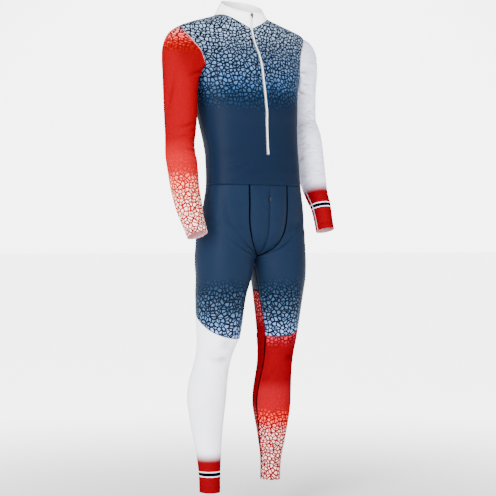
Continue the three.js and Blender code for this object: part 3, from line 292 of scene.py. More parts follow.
def upperGrid(side, behind):
    neck = count["neck"] // 2 if behind else neckHalf
    top = [neckAt(2 - j / neck if behind else j / neck) for j in range(neck)]
    top += [(90, float(curve(shoulder, "z", j / shoulderCols))) for j in range(shoulderCols + 1)]
    fine = np.linspace(0, armhole["k"][-1], 61)
    row = np.stack([curve(armhole, "turn", fine), curve(armhole, "z", fine)], -1)
    path = torsoPoint(1, row[:, 0], row[:, 1])
    outer = []
    for k, p in enumerate(spread(path, arm)):
        turn, z = row[np.argmin(np.linalg.norm(path - p, axis=1))]
        turn = 90 if k in (0, arm) else turn
        outer.append((180 - turn if behind else turn, z))
    outer += [(90, mix(armhole["z"][-1], cloth["waist"], k / count["side"])) for k in range(1, count["side"] + 1)]
    rows = len(outer) - 1
    z = np.linspace(top[0][1], cloth["waist"], rows + 1)
    zipRow = 0
    if not behind:
        zipRow = int(np.argmin(np.abs(z - cloth["zipEnd"])))
        z = np.concatenate([np.linspace(top[0][1], cloth["zipEnd"], zipRow + 1),
                            np.linspace(cloth["zipEnd"], cloth["waist"], rows - zipRow + 1)[1:]])
    inner = np.stack([180 + 0 * z if behind else turnAt(cloth["zipHalf"], z), z], -1)
    if behind:
        bottom = [(180 - 90 * t, cloth["waist"]) for t in np.linspace(0, 1, backHalf + 1)]
    else:
        edge, first = (float(turnAt(x, cloth["waist"])) for x in (pouchSide["x"][-1], cloth["zipHalf"]))
        turns = [*np.linspace(first, edge, count["pouch"] + 1), *np.linspace(edge, 90, count["leg"] + 1)[1:]]
        bottom = [(t, cloth["waist"]) for t in turns]
    cells = fill(np.array(top, float), np.array(bottom, float), inner, np.array(outer, float))
    grid = torsoPoint(sign[side], cells[..., 0], cells[..., 1])
    return relax(grid, 40, lambda p: projectTorso(p, behind)), zipRow


upper = {}
for side in sign:
    front, zipRow = upperGrid(side, False)
    upper[side] = {"front": front, "back": upperGrid(side, True)[0]}

lower = {}
for side in sign:
    s = sign[side]
    frontWaist, backWaist = upper[side]["front"][-1], upper[side]["back"][-1]
    z = np.linspace(cloth["waist"], pouchSide["z"][0], 41)
    path = lowerAtX(s * curve(pouchSide, "x", z), z, False)
    path[0] = frontWaist[count["pouch"]]
    edge = spread(path, count["pouchRows"])
    at = np.linspace(0, 5, 41)
    path = lowerAtX(s * curve(pouchBottom, "x", at), curve(pouchBottom, "z", at), False)
    path[0], path[-1] = edge[-1], lowerAtX(0, pouchBottom["z"][-1], False)[0]
    lower[side] = {"waist": frontWaist, "backWaist": backWaist, "edge": edge, "bottom": spread(path, count["bottom"])}
tip = lower["right"]["bottom"][-1]
crotch = crotchPoint(np.linspace(tip[1], 8, count["crotch"] + 1))
crotch[0] = tip
backRows = count["pouchRows"] + count["bottom"] + count["crotch"]
path = lowerAtX(0, np.linspace(cloth["waist"], 850, 21), True)
under = crotchPoint(mix(8, path[-1][1], np.cos(np.radians(np.linspace(0, 90, 21)[1:]))))
path = np.concatenate([path, under])
path[0] = lower["right"]["backWaist"][0]
seatSeam = spread(path, backRows)
seatSeam[-1] = crotch[-1]


def innerAt(side, z):
    return castLower(side, z, curve(inseam, "turn", z))


def legPanels(side):
    s, own = sign[side], lower[side]
    inUpper = innerAt(side, np.linspace(crotch[-1][2], backSeam["inner"], count["inner"] + 1)[1:])
    kneeIn, kneeOut = kneeSeam["z"][0], kneeSeam["z"][-1]
    inKnee = innerAt(side, np.linspace(backSeam["inner"], kneeIn, count["knee"] + 1)[1:])
    inShank = innerAt(side, np.linspace(kneeIn, hem[side], count["shank"] + 1)[1:])
    upperRows = backRows + count["inner"]
    z = np.concatenate([np.linspace(cloth["waist"], backSeam["outer"], upperRows + 1)[1:],
                        np.linspace(backSeam["outer"], kneeOut, count["knee"] + 1)[1:],
                        np.linspace(kneeOut, hem[side], count["shank"] + 1)[1:]])
    t = np.clip((z - cloth["hip"]) / (cloth["waist"] - cloth["hip"]), 0, 1)
    sideTurn = float(turnOf(side, torsoPoint(s, 90, cloth["waist"])))
    outseam = np.concatenate([own["waist"][-1:], castLower(side, z, mix(cloth["outseam"], sideTurn, t ** 0.8))])

    def build(top, bottom, inner, outer, behind):
        def cells(p, last):
            turn = turnOf(side, p)
            if behind:
                turn = np.where(last & (turn > 90), turn - 360, turn)
            else:
                turn = np.where(turn < -90, turn + 360, turn)
            return np.stack([turn, p[..., 2]], -1)
        late = np.arange(len(top)) > (len(top) - 1) / 2
        grid = fill(cells(top, late), cells(bottom, late), cells(inner, np.array(False)), cells(outer, np.array(True)))
        points = castLower(side, grid[..., 1], grid[..., 0])
        points[0], points[-1], points[:, 0], points[:, -1] = top, bottom, inner, outer
        return relax(points, 6, lambda p: castLower(side, p[..., 2], turnOf(side, p)))

    kneeIndex = upperRows + count["knee"]
    frontInner = np.concatenate([own["edge"], own["bottom"][1:], crotch[1:], inUpper, inKnee])
    t = np.linspace(0, 1, count["leg"] + 1)
    knee = castLower(side, curve(kneeSeam, "z", t), mix(float(curve(inseam, "turn", kneeIn)), cloth["outseam"], t))
    knee[0], knee[-1] = frontInner[-1], outseam[kneeIndex]
    frontThigh = build(own["waist"][count["pouch"]:], knee, frontInner, outseam[: kneeIndex + 1], False)
    backInner = np.concatenate([seatSeam, inUpper])
    t = np.linspace(0, 1, backHalf + 1)
    z = mix(backSeam["inner"], backSeam["outer"], t) + backSeam["rise"] * np.sin(np.pi * t)
    backKnee = castLower(side, z, mix(float(curve(inseam, "turn", backSeam["inner"])), cloth["outseam"] - 360, t))
    backKnee[0], backKnee[-1] = backInner[-1], outseam[upperRows]
    backThigh = build(own["backWaist"], backKnee, backInner, outseam[: upperRows + 1], True)
    first = float(curve(inseam, "turn", hem[side]))
    hemFront = castLower(side, hem[side], mix(first, cloth["outseam"], np.linspace(0, 1, count["leg"] + 1)))
    hemBack = castLower(side, hem[side], mix(first, cloth["outseam"] - 360, t))
    for ring in (hemFront, hemBack):
        ring[0], ring[-1] = inShank[-1], outseam[-1]
    frontShank = build(knee, hemFront, np.concatenate([frontInner[-1:], inShank]), outseam[kneeIndex:], False)
    backShank = build(backKnee, hemBack, np.concatenate([backInner[-1:], inKnee, inShank]), outseam[upperRows:], True)
    return {"front_thigh": frontThigh, "back_thigh": backThigh, "front_shank": frontShank, "back_shank": backShank}


def pouchGrid(side):
    s, own = sign[side], lower[side]
    rows, cols = count["pouchRows"], count["bottom"]
    top = np.concatenate([[[0, own["waist"][0][1], cloth["waist"]]], own["waist"][: count["pouch"] + 1]])
    bottom = own["bottom"][::-1]
    middle = np.stack([np.zeros(rows + 1), np.linspace(cloth["waist"], pouchBottom["z"][-1], rows + 1)], -1)
    flat = [np.stack([np.abs(e[:, 0]), e[:, 2]], -1) for e in (top, bottom, own["edge"])]
    cells = fill(flat[0], flat[1], middle, flat[2])
    grid = lowerAtX(s * cells[..., 0].ravel(), cells[..., 1].ravel(), False).reshape(rows + 1, cols + 1, 3)
    grid[0], grid[-1], grid[:, -1] = top, bottom, own["edge"]
    return grid


def sleeveRing(side, t, turns):  # turn 0 outwards, 90 to the front, 180 inwards, 270 to the back
    table = arms[side]
    top, end = table["z"][-1], table["z"][0]
    z = mix(top, end, t)
    before, after = min(top, z + headArrive["near"]), max(end, z - headArrive["near"])
    at = {c: float(curve(table, c, z)) for c in ("side", "y", "wide", "deep")}
    middle = np.array([sign[side] * at["side"], at["y"], z])
    axis = np.array([sign[side] * float(curve(table, "side", after) - curve(table, "side", before)),
                     float(curve(table, "y", after) - curve(table, "y", before)), after - before])
    axis /= np.linalg.norm(axis)
    axis = mix(axis, np.array([0, 0, -1.0]), 1 - min(1, t * headArrive["level"]))
    axis /= np.linalg.norm(axis)
    out = np.array([sign[side], 0, 0]) - axis * sign[side] * axis[0]
    front = np.array([0, -1, 0]) + axis * axis[1]
    out, front = out / np.linalg.norm(out), front / np.linalg.norm(front)
    a = np.radians(turns)[:, None]
    return middle + out * at["wide"] * np.cos(a) + front * at["deep"] * np.sin(a)


def sleeveGrid(side):
    s, n = sign[side], arm
    loop = np.concatenate([upper[side]["front"][: n + 1, -1], upper[side]["back"][1:n, -1][::-1]])
    k = np.arange(len(loop))
    turns = np.where(k <= n, 180 * k / n, 180 + 180 * (k - n) / (len(loop) - n))
    ring = sleeveRing(side, 0, turns)
    c, f = np.cos(np.radians(turns)), np.sin(np.radians(turns))
    high = ((1 + c) / 2)[:, None]
    head, low = headLeave[side], headUnder
    leave = np.concatenate([s * mix(low["out"], head["out"], high), low["forward"] * f[:, None],
                            mix(low["down"], head["down"], high)], 1)
    leave *= mix(low["long"], head["long"], high) / np.linalg.norm(leave, axis=1, keepdims=True)
    arrive = np.array([0, 0, 1]) * mix(headArrive["under"], headArrive["top"], high)
    grid = []
    for i in range(count["head"]):
        t = i / count["head"]
        grid.append(loop * (1 - t) ** 3 + (loop + leave) * 3 * t * (1 - t) ** 2
                    + (ring + arrive) * 3 * t * t * (1 - t) + ring * t ** 3)
    grid += [sleeveRing(side, i / count["sleeve"], turns) for i in range(count["sleeve"] + 1)]
    return np.array(grid), turns


def collarGrid():
    neck, back = neckHalf, count["neck"] // 2
    base = np.concatenate([upper["right"]["front"][0, : neck + 1], upper["right"]["back"][0, :back][::-1],
                           upper["left"]["back"][0, 1:back], upper["left"]["front"][0, : neck + 1][::-1]])
    size = collarSize
    turn = np.arctan2(base[:, 0] / cloth["neck"], -(base[:, 1] - size["baseMiddle"]) / size["baseDeep"])
    c = np.cos(turn)
    top = np.stack([size["half"] * np.sin(turn), size["middle"] - size["front"] * c,
                    mix(size["backTop"], size["frontTop"], ((1 + c) / 2) ** 1.15)], -1)
    slit = (np.abs(base[:, 0]) < cloth["zipHalf"] + 0.6) & (base[:, 1] < 0)
    top[slit, 0] = base[slit, 0]
    return np.array([mix(base, top, t) for t in np.linspace(1, 0, size["rows"] + 1)])


def endSlope(p, i, way):  # slope at a point, from the points on one side of it
    return way * (-3 * p[i] + 4 * p[i + way] - p[i + 2 * way]) / 2


def spline(p, k, breaks=(), closed=False):  # smooth curves through points along the first axis
    n = len(p)
    if closed:
        p = np.concatenate([p, p[:1]])
        inside = (np.roll(p[:-1], -1, 0) - np.roll(p[:-1], 1, 0)) / 2
        leave = np.concatenate([inside, inside[:1]])
        n += 1
    else:
        leave = np.empty_like(p)
        leave[1:-1] = (p[2:] - p[:-2]) / 2
        leave[0], leave[-1] = endSlope(p, 0, 1), endSlope(p, -1, -1)
    arrive = leave.copy()
    for b in breaks:
        if b + 2 < n:
            leave[b] = endSlope(p, b, 1)
        if b >= 2:
            arrive[b] = endSlope(p, b, -1)
        elif b == 0 and closed:
            arrive[-1] = endSlope(p, -1, -1)
    t = (np.arange(k) / k).reshape((1, k) + (1,) * (p.ndim - 1))
    a, b, ta, tb = p[:-1, None], p[1:, None], leave[:-1, None], arrive[1:, None]
    t2, t3 = t * t, t * t * t
    q = (2 * t3 - 3 * t2 + 1) * a + (t3 - 2 * t2 + t) * ta + (3 * t2 - 2 * t3) * b + (t3 - t2) * tb
    q = q.reshape(((n - 1) * k,) + p.shape[1:])
    return q if closed else np.concatenate([q, p[-1:]])


def refine(grid, k, breaks, tube):  # finer grid whose edges match those of the pieces beside it
    fine = spline(grid, k)
    fine = np.swapaxes(spline(np.swapaxes(fine, 0, 1), k, closed=tube), 0, 1)
    edges = [("top", 0, 0), ("bottom", 0, -1)] + ([] if tube else [("first", 1, 0), ("last", 1, -1)])
    for name, axis, end in edges:
        own = grid[end] if axis == 0 else grid[:, end]
        target = spline(own, k, breaks.get(name, ()), tube and axis == 0)
        now = fine[end] if axis == 0 else fine[:, end]
        delta = target - now
        far = np.arange(fine.shape[axis]) / k
        far = far if end == 0 else far[::-1]
        share = np.where(far < 1, (1 - far) ** 2 * (1 + 2 * far), 0)
        fine += share[:, None, None] * delta[None] if axis == 0 else share[None, :, None] * delta[:, None]
    return fine


grids = {}
for side in sign:
    for name, grid in legPanels(side).items():
        front = name.startswith("front")
        grids[f"{name}_{side}"] = grid[:, ::-1] if front == (side == "right") else grid
    grids[f"pouch_{side}"] = pouchGrid(side)[:, ::-1] if side == "right" else pouchGrid(side)
grids["front_body"] = np.concatenate([upper["right"]["front"][:, ::-1], upper["left"]["front"]], 1)
grids["back_body"] = np.concatenate([upper["left"]["back"][:, ::-1], upper["right"]["back"][:, 1:]], 1)
grids["collar"] = collarGrid()[:, ::-1]
grids["sleeve_right"], turnsRight = sleeveGrid("right")
grids["sleeve_left"], turnsLeft = sleeveGrid("left")
grids["sleeve_left"] = grids["sleeve_left"][:, ::-1]
turnsOf = {"sleeve_right": turnsRight, "sleeve_left": turnsLeft[::-1]}
print("grids made", {name: grid.shape[:2] for name, grid in grids.items()})

toCrotch = count["pouchRows"] + count["bottom"]
thighRows = backRows + count["inner"] + count["knee"]
thighBreaks = (count["pouchRows"], toCrotch, backRows, backRows + count["inner"])
bodySides = {"first": (arm,), "last": (arm,)}
breaksOf = {
    "front_body": {"top": (shoulderCols, frontHalf, frontHalf + 1, frontCols - shoulderCols), **bodySides,
                   "bottom": (frontHalf - count["pouch"], frontHalf, frontHalf + 1, frontHalf + 1 + count["pouch"])},
    "back_body": {"top": (shoulderCols, shoulderCols + count["neck"]), "bottom": (backHalf,), **bodySides},
    "collar": {"bottom": (neckHalf, neckHalf + count["neck"])},
    "sleeve_right": {"top": (0, arm)}, "sleeve_left": {"top": (arm - 1, 2 * arm - 1)},
    "pouch_right": {"top": (count["pouch"],)}, "pouch_left": {"top": (count["bottom"] - count["pouch"],)}}
for side in sign:
    inner, outer = ("last", "first") if side == "right" else ("first", "last")
    breaksOf[f"front_thigh_{side}"] = {inner: thighBreaks, outer: (backRows + count["inner"],)}
    inner, outer = outer, inner
    breaksOf[f"back_thigh_{side}"] = {inner: (backRows,)}
    breaksOf[f"back_shank_{side}"] = {inner: (count["knee"],), outer: (count["knee"],)}

# Creases: u and v are millimetres on the piece from its middle or inner edge and its lower edge; on a sleeve
# u is degrees round it. Each row is a group of like creases, gap apart across their own direction.
creaseNames = "u v angle long wide high times gap bend"
creases = {
    "sleeve_right": (
        (150, 470, 38, 46, 9, 2.2, 3, 22, 0.1), (205, 452, -30, 40, 9, 1.8, 3, 20, 0.1),
        (95, 300, 8, 30, 7, 1.1, 3, 15, 0.2), (120, 250, -12, 34, 8, 1.3, 4, 17, -0.2),
        (265, 262, 5, 28, 8, 1.0, 3, 20, 0.1), (20, 430, 70, 60, 14, 0.8, 2, 40, 0), (60, 60, 5, 22, 5, 0.5, 3, 14, 0)),
    "sleeve_left": (
        (130, 470, 32, 46, 8, 2.3, 5, 17, 0.12), (200, 455, -34, 42, 8, 2.0, 4, 18, 0.1),
        (85, 420, 22, 34, 5, 1.0, 6, 13, 0.2), (90, 350, 12, 36, 5, 1.1, 6, 12, 0.25),
        (120, 295, -8, 36, 6, 1.5, 7, 12, -0.15), (60, 250, 10, 30, 5, 0.9, 6, 11, 0.2),
        (270, 275, 4, 28, 8, 1.0, 4, 18, 0.1), (150, 200, -14, 26, 6, 0.9, 4, 13, 0),
        (40, 520, 60, 50, 12, 0.9, 2, 36, 0)),
    "front_body": (
        (-158, 352, 62, 48, 10, 2.6, 3, 20, 0.1), (160, 350, -62, 48, 10, 2.6, 3, 20, 0.1),
        (-140, 300, 40, 42, 10, 1.5, 2, 26, 0.1), (140, 300, -40, 42, 10, 1.5, 2, 26, 0.1),
        (-128, 60, 6, 44, 9, 1.1, 3, 22, 0.2), (120, 64, -8, 40, 9, 1.0, 3, 20, 0.2),
        (-40, 20, 3, 50, 8, 0.6, 2, 14, 0.1), (46, 26, -4, 44, 8, 0.6, 2, 15, 0.1),
        (0, 440, 2, 60, 14, 0.8, 1, 10, 0.3)),
    "back_body": (
        (-150, 352, 58, 46, 10, 2.2, 3, 22, 0.1), (150, 352, -58, 46, 10, 2.2, 3, 22, 0.1),
        (0, 90, 0, 70, 12, 1.5, 4, 28, 0.15), (-110, 110, 12, 44, 10, 1.4, 3, 24, 0.1),
        (110, 106, -12, 44, 10, 1.4, 3, 24, 0.1), (0, 470, 0, 60, 14, 1.0, 2, 30, -0.2)),
    "pouch": (
        (30, 112, 2, 15, 2.6, 0.7, 9, 8.5, 0.15), (44, 172, -8, 18, 5, 0.5, 3, 12, 0),
        (26, 40, 30, 18, 5, 0.8, 3, 12, 0.1)),
    "front_thigh": (
        (26, 268, 24, 40, 9, 2.4, 4, 17, 0.12), (48, 300, 40, 44, 9, 1.4, 3, 22, 0.1),
        (60, 380, 80, 60, 12, 0.8, 2, 40, 0), (70, 30, 0, 40, 9, 0.7, 2, 18, 0.2), (18, 225, 8, 22, 7, 1.4, 3, 14, 0)),
    "back_thigh": (
        (24, 170, 20, 44, 9, 2.4, 3, 20, 0.12), (92, 92, 6, 70, 12, 2.8, 2, 26, 0.2),
        (150, 70, 14, 36, 9, 1.3, 3, 20, 0.1), (70, 20, 4, 44, 9, 0.9, 2, 18, 0), (40, 240, 66, 46, 10, 0.9, 2, 30, 0)),
    "front_shank": (
        (44, 405, 4, 38, 9, 1.3, 3, 20, 0.25), (84, 452, 74, 34, 18, -0.7, 1, 20, 0.3),
        (84, 400, -8, 38, 16, -0.8, 1, 20, 0.3), (30, 30, 6, 24, 5, 0.5, 4, 12, 0.1),
        (66, 330, 62, 60, 12, 0.6, 2, 30, 0)),
    "back_shank": (
        (96, 430, 4, 44, 8, 2.1, 5, 17, 0.15), (40, 446, -16, 30, 7, 1.5, 4, 16, 0.1),
        (150, 446, 18, 30, 7, 1.4, 4, 17, 0.1), (60, 36, 4, 30, 6, 0.8, 4, 13, 0.1),
        (96, 230, 84, 70, 14, 0.7, 2, 40, 0)),
    "collar": (
        (-58, 26, 80, 22, 6, 0.8, 2, 22, 0.1), (60, 26, -80, 22, 6, 0.8, 2, 22, 0.1),
        (0, 24, 4, 40, 7, 0.6, 2, 14, 0.1))}


def creaseHeight(kind, u, v, around):
    lift = np.zeros_like(u)
    for row in creases.get(kind, ()):
        r = dict(zip(creaseNames.split(), row))
        for k in range(r["times"]):
            jitter = rng.uniform(-1, 1, 6)
            angle = math.radians(r["angle"] + 7 * jitter[0])
            off = (k - (r["times"] - 1) / 2) * r["gap"] * (1 + 0.12 * jitter[1])
            long, wide = r["long"] * (1 + 0.3 * jitter[2]), r["wide"] * (1 + 0.22 * jitter[3])
            high = r["high"] * (1 + 0.35 * jitter[4])
            du = u - r["u"]
            if around is not None:
                du = ((du + 180) % 360 - 180) * around / 360
            du = du + off * math.sin(angle) + 0.2 * r["long"] * jitter[5]
            dv = v - r["v"] - off * math.cos(angle)
            a = du * math.cos(angle) + dv * math.sin(angle)
            b = -du * math.sin(angle) + dv * math.cos(angle) - r["bend"] * a * a / long
            ends = np.exp(-1.6 * (a / long) ** 2)
            dip = 0.45 * np.exp(-(((b - 0.7 * wide) / (1.5 * wide)) ** 2))  # a soft trough beside each ridge
            lift += high * ends * (np.exp(-((b / wide) ** 2)) - dip)
    return lift


def lengths(p, axis):  # distance run along one axis of a grid
    step = np.linalg.norm(np.diff(p, axis=axis), axis=2)
    start = np.zeros((1, p.shape[1]) if axis == 0 else (p.shape[0], 1))
    return np.concatenate([start, np.cumsum(step, axis)], axis)


def normalsOf(p, quads):
    flat = p.reshape(-1, 3)
    a, b, c, d = (flat[quads[:, i]] for i in range(4))
    face = np.cross(c - a, d - b)
    made = np.zeros_like(flat)
    for i in range(4):
        np.add.at(made, quads[:, i], face)
    size = np.linalg.norm(made, axis=1, keepdims=True)
    return (made / np.where(size == 0, 1, size)).reshape(p.shape)


def addMesh(name, points, faces, material, uv=None, flatFrom=None, smooth=True, fold=None):
    mesh = bpy.data.meshes.new(name)
    mesh.from_pydata(((points - hold) / 1000).tolist(), [], faces)
    mesh.update()
    soft = np.full(len(faces), smooth)
    if flatFrom is not None:
        soft[flatFrom:] = False
    mesh.polygons.foreach_set("use_smooth", soft)
    if uv is not None:
        layer = mesh.uv_layers.new(name="UVMap")
        index = np.empty(len(mesh.loops), np.int32)
        mesh.loops.foreach_get("vertex_index", index)
        layer.data.foreach_set("uv", (uv[index] / 1000).astype(np.float32).ravel())
    # each point's crease depth, by which the materials paint shade into the creases
    if fold is not None:
        mesh.attributes.new("fold", "FLOAT", "POINT").data.foreach_set("value", fold.astype(np.float32))
    mesh.materials.append(material)
    made = bpy.data.objects.new(name, mesh)
    bpy.context.scene.collection.objects.link(made)
    return made


panels = {}
for name, grid in grids.items():
    tube = name.startswith("sleeve")
    k = cloth["fineSleeve"] if tube else cloth["fine"]
    fine = refine(grid, k, breaksOf.get(name, {}), tube)
    if "thigh" in name:
        s, apart = -1 if name.endswith("right") else 1, cloth["wall"]
        near = (s * fine[..., 0] < apart) & (fine[..., 2] < innerThighs)
        fine[..., 0] = np.where(near, s * apart, fine[..., 0])
    rows, cols = fine.shape[:2]
    i, j = np.meshgrid(np.arange(rows - 1), np.arange(cols if tube else cols - 1), indexing="ij")
    keep = np.ones(i.shape, bool)
    if name == "front_body":  # the slit for the zip
        keep = ~((j >= frontHalf * k) & (j < (frontHalf + 1) * k) & (i < zipRow * k))
    i, j = i[keep], j[keep]
    nextJ = (j + 1) % cols
    quads = np.stack([i * cols + j, (i + 1) * cols + j, (i + 1) * cols + nextJ, i * cols + nextJ], 1)
    normal = normalsOf(fine, quads)
    down, across = lengths(fine, 0), lengths(fine, 1)
    v = down[-1:] - down
    around = None
    if tube:
        whole = across[:, -1:] + np.linalg.norm(fine[:, :1] - fine[:, -1:], axis=2)
        fineTurn = np.interp(np.arange(cols), np.arange(len(turnsOf[name]) + 1) * k,
                             np.append(turnsOf[name], 360 if name == "sleeve_right" else -20)) % 360
        u, around = np.broadcast_to(fineTurn, (rows, cols)), whole
        uvU = across
    else:
        middle = cols // 2 if name in ("front_body", "back_body", "collar") else 0
        if name.endswith("_right" if name.startswith(("front", "pouch")) else "_left"):
            middle = cols - 1
        u = across - across[:, middle:middle + 1]
        uvU = u
        if middle == cols - 1:
            u = -u
    kind = name if tube or name in creases else name.rsplit("_", 1)[0]
    lift = creaseHeight(kind, u, v, around) * cloth["creaseScale"] * (cloth["sleeveScale"] if tube else 1)
    fold = np.clip(-lift / cloth["shadeDepth"], 0, 1)  # how deep each point lies in a crease; the materials darken creases by it, a painted shade
    if name.startswith("pouch"):
        edgeFar = np.minimum(np.abs(across[:, -1:] - across) if name.endswith("left") else across, v)
        full = np.clip((cloth["waist"] - fine[..., 2]) / cloth["pouchFade"], 0, 1)
        lift += cloth["pouchLift"] * (1 - np.exp(-((edgeFar / cloth["pouchEdge"]) ** 2))) * full
    if not tube:  # seams lie still
        rim = np.minimum(np.minimum(across, across[:, -1:] - across), np.minimum(down, v))
    else:
        rim = np.minimum(down, v)
    lift = lift * (1 - cloth["still"] * np.exp(-((rim / cloth["stillWide"]) ** 2)))
    out = fine + normal * lift[..., None]
    normal = normalsOf(out, quads)
    panels[name] = {"out": out, "normal": normal, "fold": fold.ravel(), "quads": quads, "k": k,
                    "uv": np.stack([uvU, v], -1).reshape(-1, 2), "long": float(down[-1].max()),
                    "wide": float((whole if tube else across[:, -1:]).max())}
print("panels made", {name: (round(p["wide"]), round(p["long"])) for name, p in panels.items()})


# Materials, all from nodes.
lightLevel = 3.6  # light that falls on the suit's front, against which its colours are set
knitLook = {"ribs": 260, "waver": 0.4, "ribHigh": 0.06, "bump": 0.001,
            "folds": (3.0, 9, 26), "foldHigh": 1.6, "wrinkles": (4.0, 45, 170)}  # detail, and how often each way
secondNet = {"grow": 1.75, "thin": 0.62}  # a second, larger net of thinner lines over the first


def linear(colour):  # whole numbers are a colour as seen, and others the light that the cloth sends back
    if isinstance(colour[0], float):
        return [min(0.95, c / lightLevel) for c in colour] + [1.0]
    seen = [(c / 255 / 12.92 if c / 255 <= 0.04045 else ((c / 255 + 0.055) / 1.055) ** 2.4) for c in colour]
    return [min(0.95, 0.78 * c / (1.02 - c) / lightLevel) for c in seen] + [1.0]


class Tree:  # short calls for one material's nodes
    def __init__(self, name):
        self.material = bpy.data.materials.new(name)
        self.material.use_nodes = True
        self.tree = self.material.node_tree
        self.shader = self.tree.nodes["Principled BSDF"]
        self.uv = self.node("ShaderNodeUVMap").outputs["UV"]
        self.tree.nodes[-1].uv_map = "UVMap"
        split = self.node("ShaderNodeSeparateXYZ")
        self.link(self.node("ShaderNodeTexCoord").outputs["Object"], split.inputs[0])
        self.z = split.outputs["Z"]
        flat = self.node("ShaderNodeSeparateXYZ")
        self.link(self.uv, flat.inputs[0])
        self.v = flat.outputs["Y"]

    def node(self, kind):
        return self.tree.nodes.new(kind)

    def link(self, a, b):
        self.tree.links.new(a, b)

    def put(self, socket, value):
        if isinstance(value, bpy.types.NodeSocket):
            self.link(value, socket)
        else:
            socket.default_value = value

    def calc(self, kind, a, b=0.0):
        node = self.node("ShaderNodeMath")
        node.operation = kind
        self.put(node.inputs[0], a)
        self.put(node.inputs[1], b)
        return node.outputs[0]

    def fade(self, value, a, b):  # 0 at a, 1 at b, smooth between
        node = self.node("ShaderNodeMapRange")
        node.interpolation_type = "SMOOTHSTEP"
        self.put(node.inputs["Value"], value)
        node.inputs["From Min"].default_value = a
        node.inputs["From Max"].default_value = b
        return node.outputs["Result"]

    def blend(self, share, a, b, kind="MIX"):
        node = self.node("ShaderNodeMix")
        node.data_type = "RGBA"
        node.blend_type = kind
        self.put(node.inputs[0], share)
        self.put(node.inputs[6], linear(a) if isinstance(a, tuple) else a)
        self.put(node.inputs[7], linear(b) if isinstance(b, tuple) else b)
        return node.outputs[2]

    def ramp(self, value, stops):  # stops are heights in metres above the floor, with colours
        stops = sorted(stops)
        low, high = stops[0][0], stops[-1][0]
        place = self.node("ShaderNodeMapRange")
        self.put(place.inputs["Value"], value)
        place.inputs["From Min"].default_value = low
        place.inputs["From Max"].default_value = high
        node = self.node("ShaderNodeValToRGB")
        for n, (at, colour) in enumerate(stops):
            where = (at - low) / (high - low)
            stop = node.color_ramp.elements[n] if n < 2 else node.color_ramp.elements.new(where)
            stop.position = where
            stop.color = linear(colour)
        self.link(place.outputs["Result"], node.inputs[0])
        return node.outputs["Color"]

    def noise(self, scale, detail=2.0, vector=None):
        node = self.node("ShaderNodeTexNoise")
        node.inputs["Scale"].default_value = scale
        node.inputs["Detail"].default_value = detail
        self.put(node.inputs["Vector"], vector if vector is not None else self.uv)
        return node.outputs["Fac"]

    def stretched(self, x, y):
        node = self.node("ShaderNodeMapping")
        self.link(self.uv, node.inputs["Vector"])
        node.inputs["Scale"].default_value = (x, y, 1)
        return node.outputs["Vector"]

    def shifted(self, seed):
        node = self.node("ShaderNodeMapping")
        self.link(self.uv, node.inputs["Vector"])
        node.inputs["Location"].default_value = (seed, seed * 1.7, 0)
        return node.outputs["Vector"]

    def voronoi(self, size, seed):
        node = self.node("ShaderNodeTexVoronoi")
        node.voronoi_dimensions = "2D"
        node.inputs["Scale"].default_value = 1000 / size
        self.link(self.shifted(seed), node.inputs["Vector"])
        return node

    def cells(self, size, line, seed):  # random cells: 1 inside a cell, 0 on the lines between
        made = None
        for grow, thin in ((1.0, 1.0), (secondNet["grow"], secondNet["thin"])):
            node = self.voronoi(size * grow, seed)
            node.feature = "DISTANCE_TO_EDGE"
            half = line * thin / (size * grow) / 2
            mask = self.fade(node.outputs["Distance"], half * 0.85, half * 1.2)
            made = mask if made is None else self.calc("MULTIPLY", made, mask)
        return made

    def tint(self, size, seed):  # random shade of each cell
        split = self.node("ShaderNodeSeparateColor")
        self.link(self.voronoi(size, seed).outputs["Color"], split.inputs[0])
        return split.outputs[0]

    def knit(self, strength=0.25, fine=0.0):  # fine ribs of the knit, and small random creases where fine is set
        look, wave = knitLook, self.node("ShaderNodeTexWave")
        wave.inputs["Scale"].default_value = look["ribs"]
        wave.inputs["Distortion"].default_value = look["waver"]
        self.link(self.uv, wave.inputs["Vector"])
        height = self.calc("MULTIPLY", wave.outputs["Fac"], look["ribHigh"])
        for (detail, x, y), high in ((look["folds"], look["foldHigh"]), (look["wrinkles"], fine)):
            if high:
                noise = self.noise(1.0, detail, self.stretched(x, y))
                height = self.calc("ADD", height, self.calc("MULTIPLY", noise, high))
        bump = self.node("ShaderNodeBump")
        bump.inputs["Strength"].default_value = strength
        bump.inputs["Distance"].default_value = look["bump"]
        self.link(height, bump.inputs["Height"])
        self.link(bump.outputs["Normal"], self.shader.inputs["Normal"])

    def finish(self, colour, rough=0.55, shine=0.03, fold=0.0, coat=0.0, metal=0.0):
        if fold:  # painted shade: creases are darkened at the bottom, by how deep each point lies in one
            depth = self.node("ShaderNodeAttribute")
            depth.attribute_name = "fold"
            colour = self.blend(self.calc("MULTIPLY", depth.outputs["Fac"], fold), colour, (0, 0, 0))
        self.put(self.shader.inputs["Base Color"], linear(colour) if isinstance(colour, tuple) else colour)
        vary = self.calc("ADD", self.calc("MULTIPLY", self.noise(60.0), 0.1), rough - 0.05)
        self.link(vary, self.shader.inputs["Roughness"])
        for name, value in (("Coat Weight", coat), ("Metallic", metal), ("IOR", 1.45), ("Specular IOR Level", shine)):
            self.shader.inputs[name].default_value = value
        return self.material
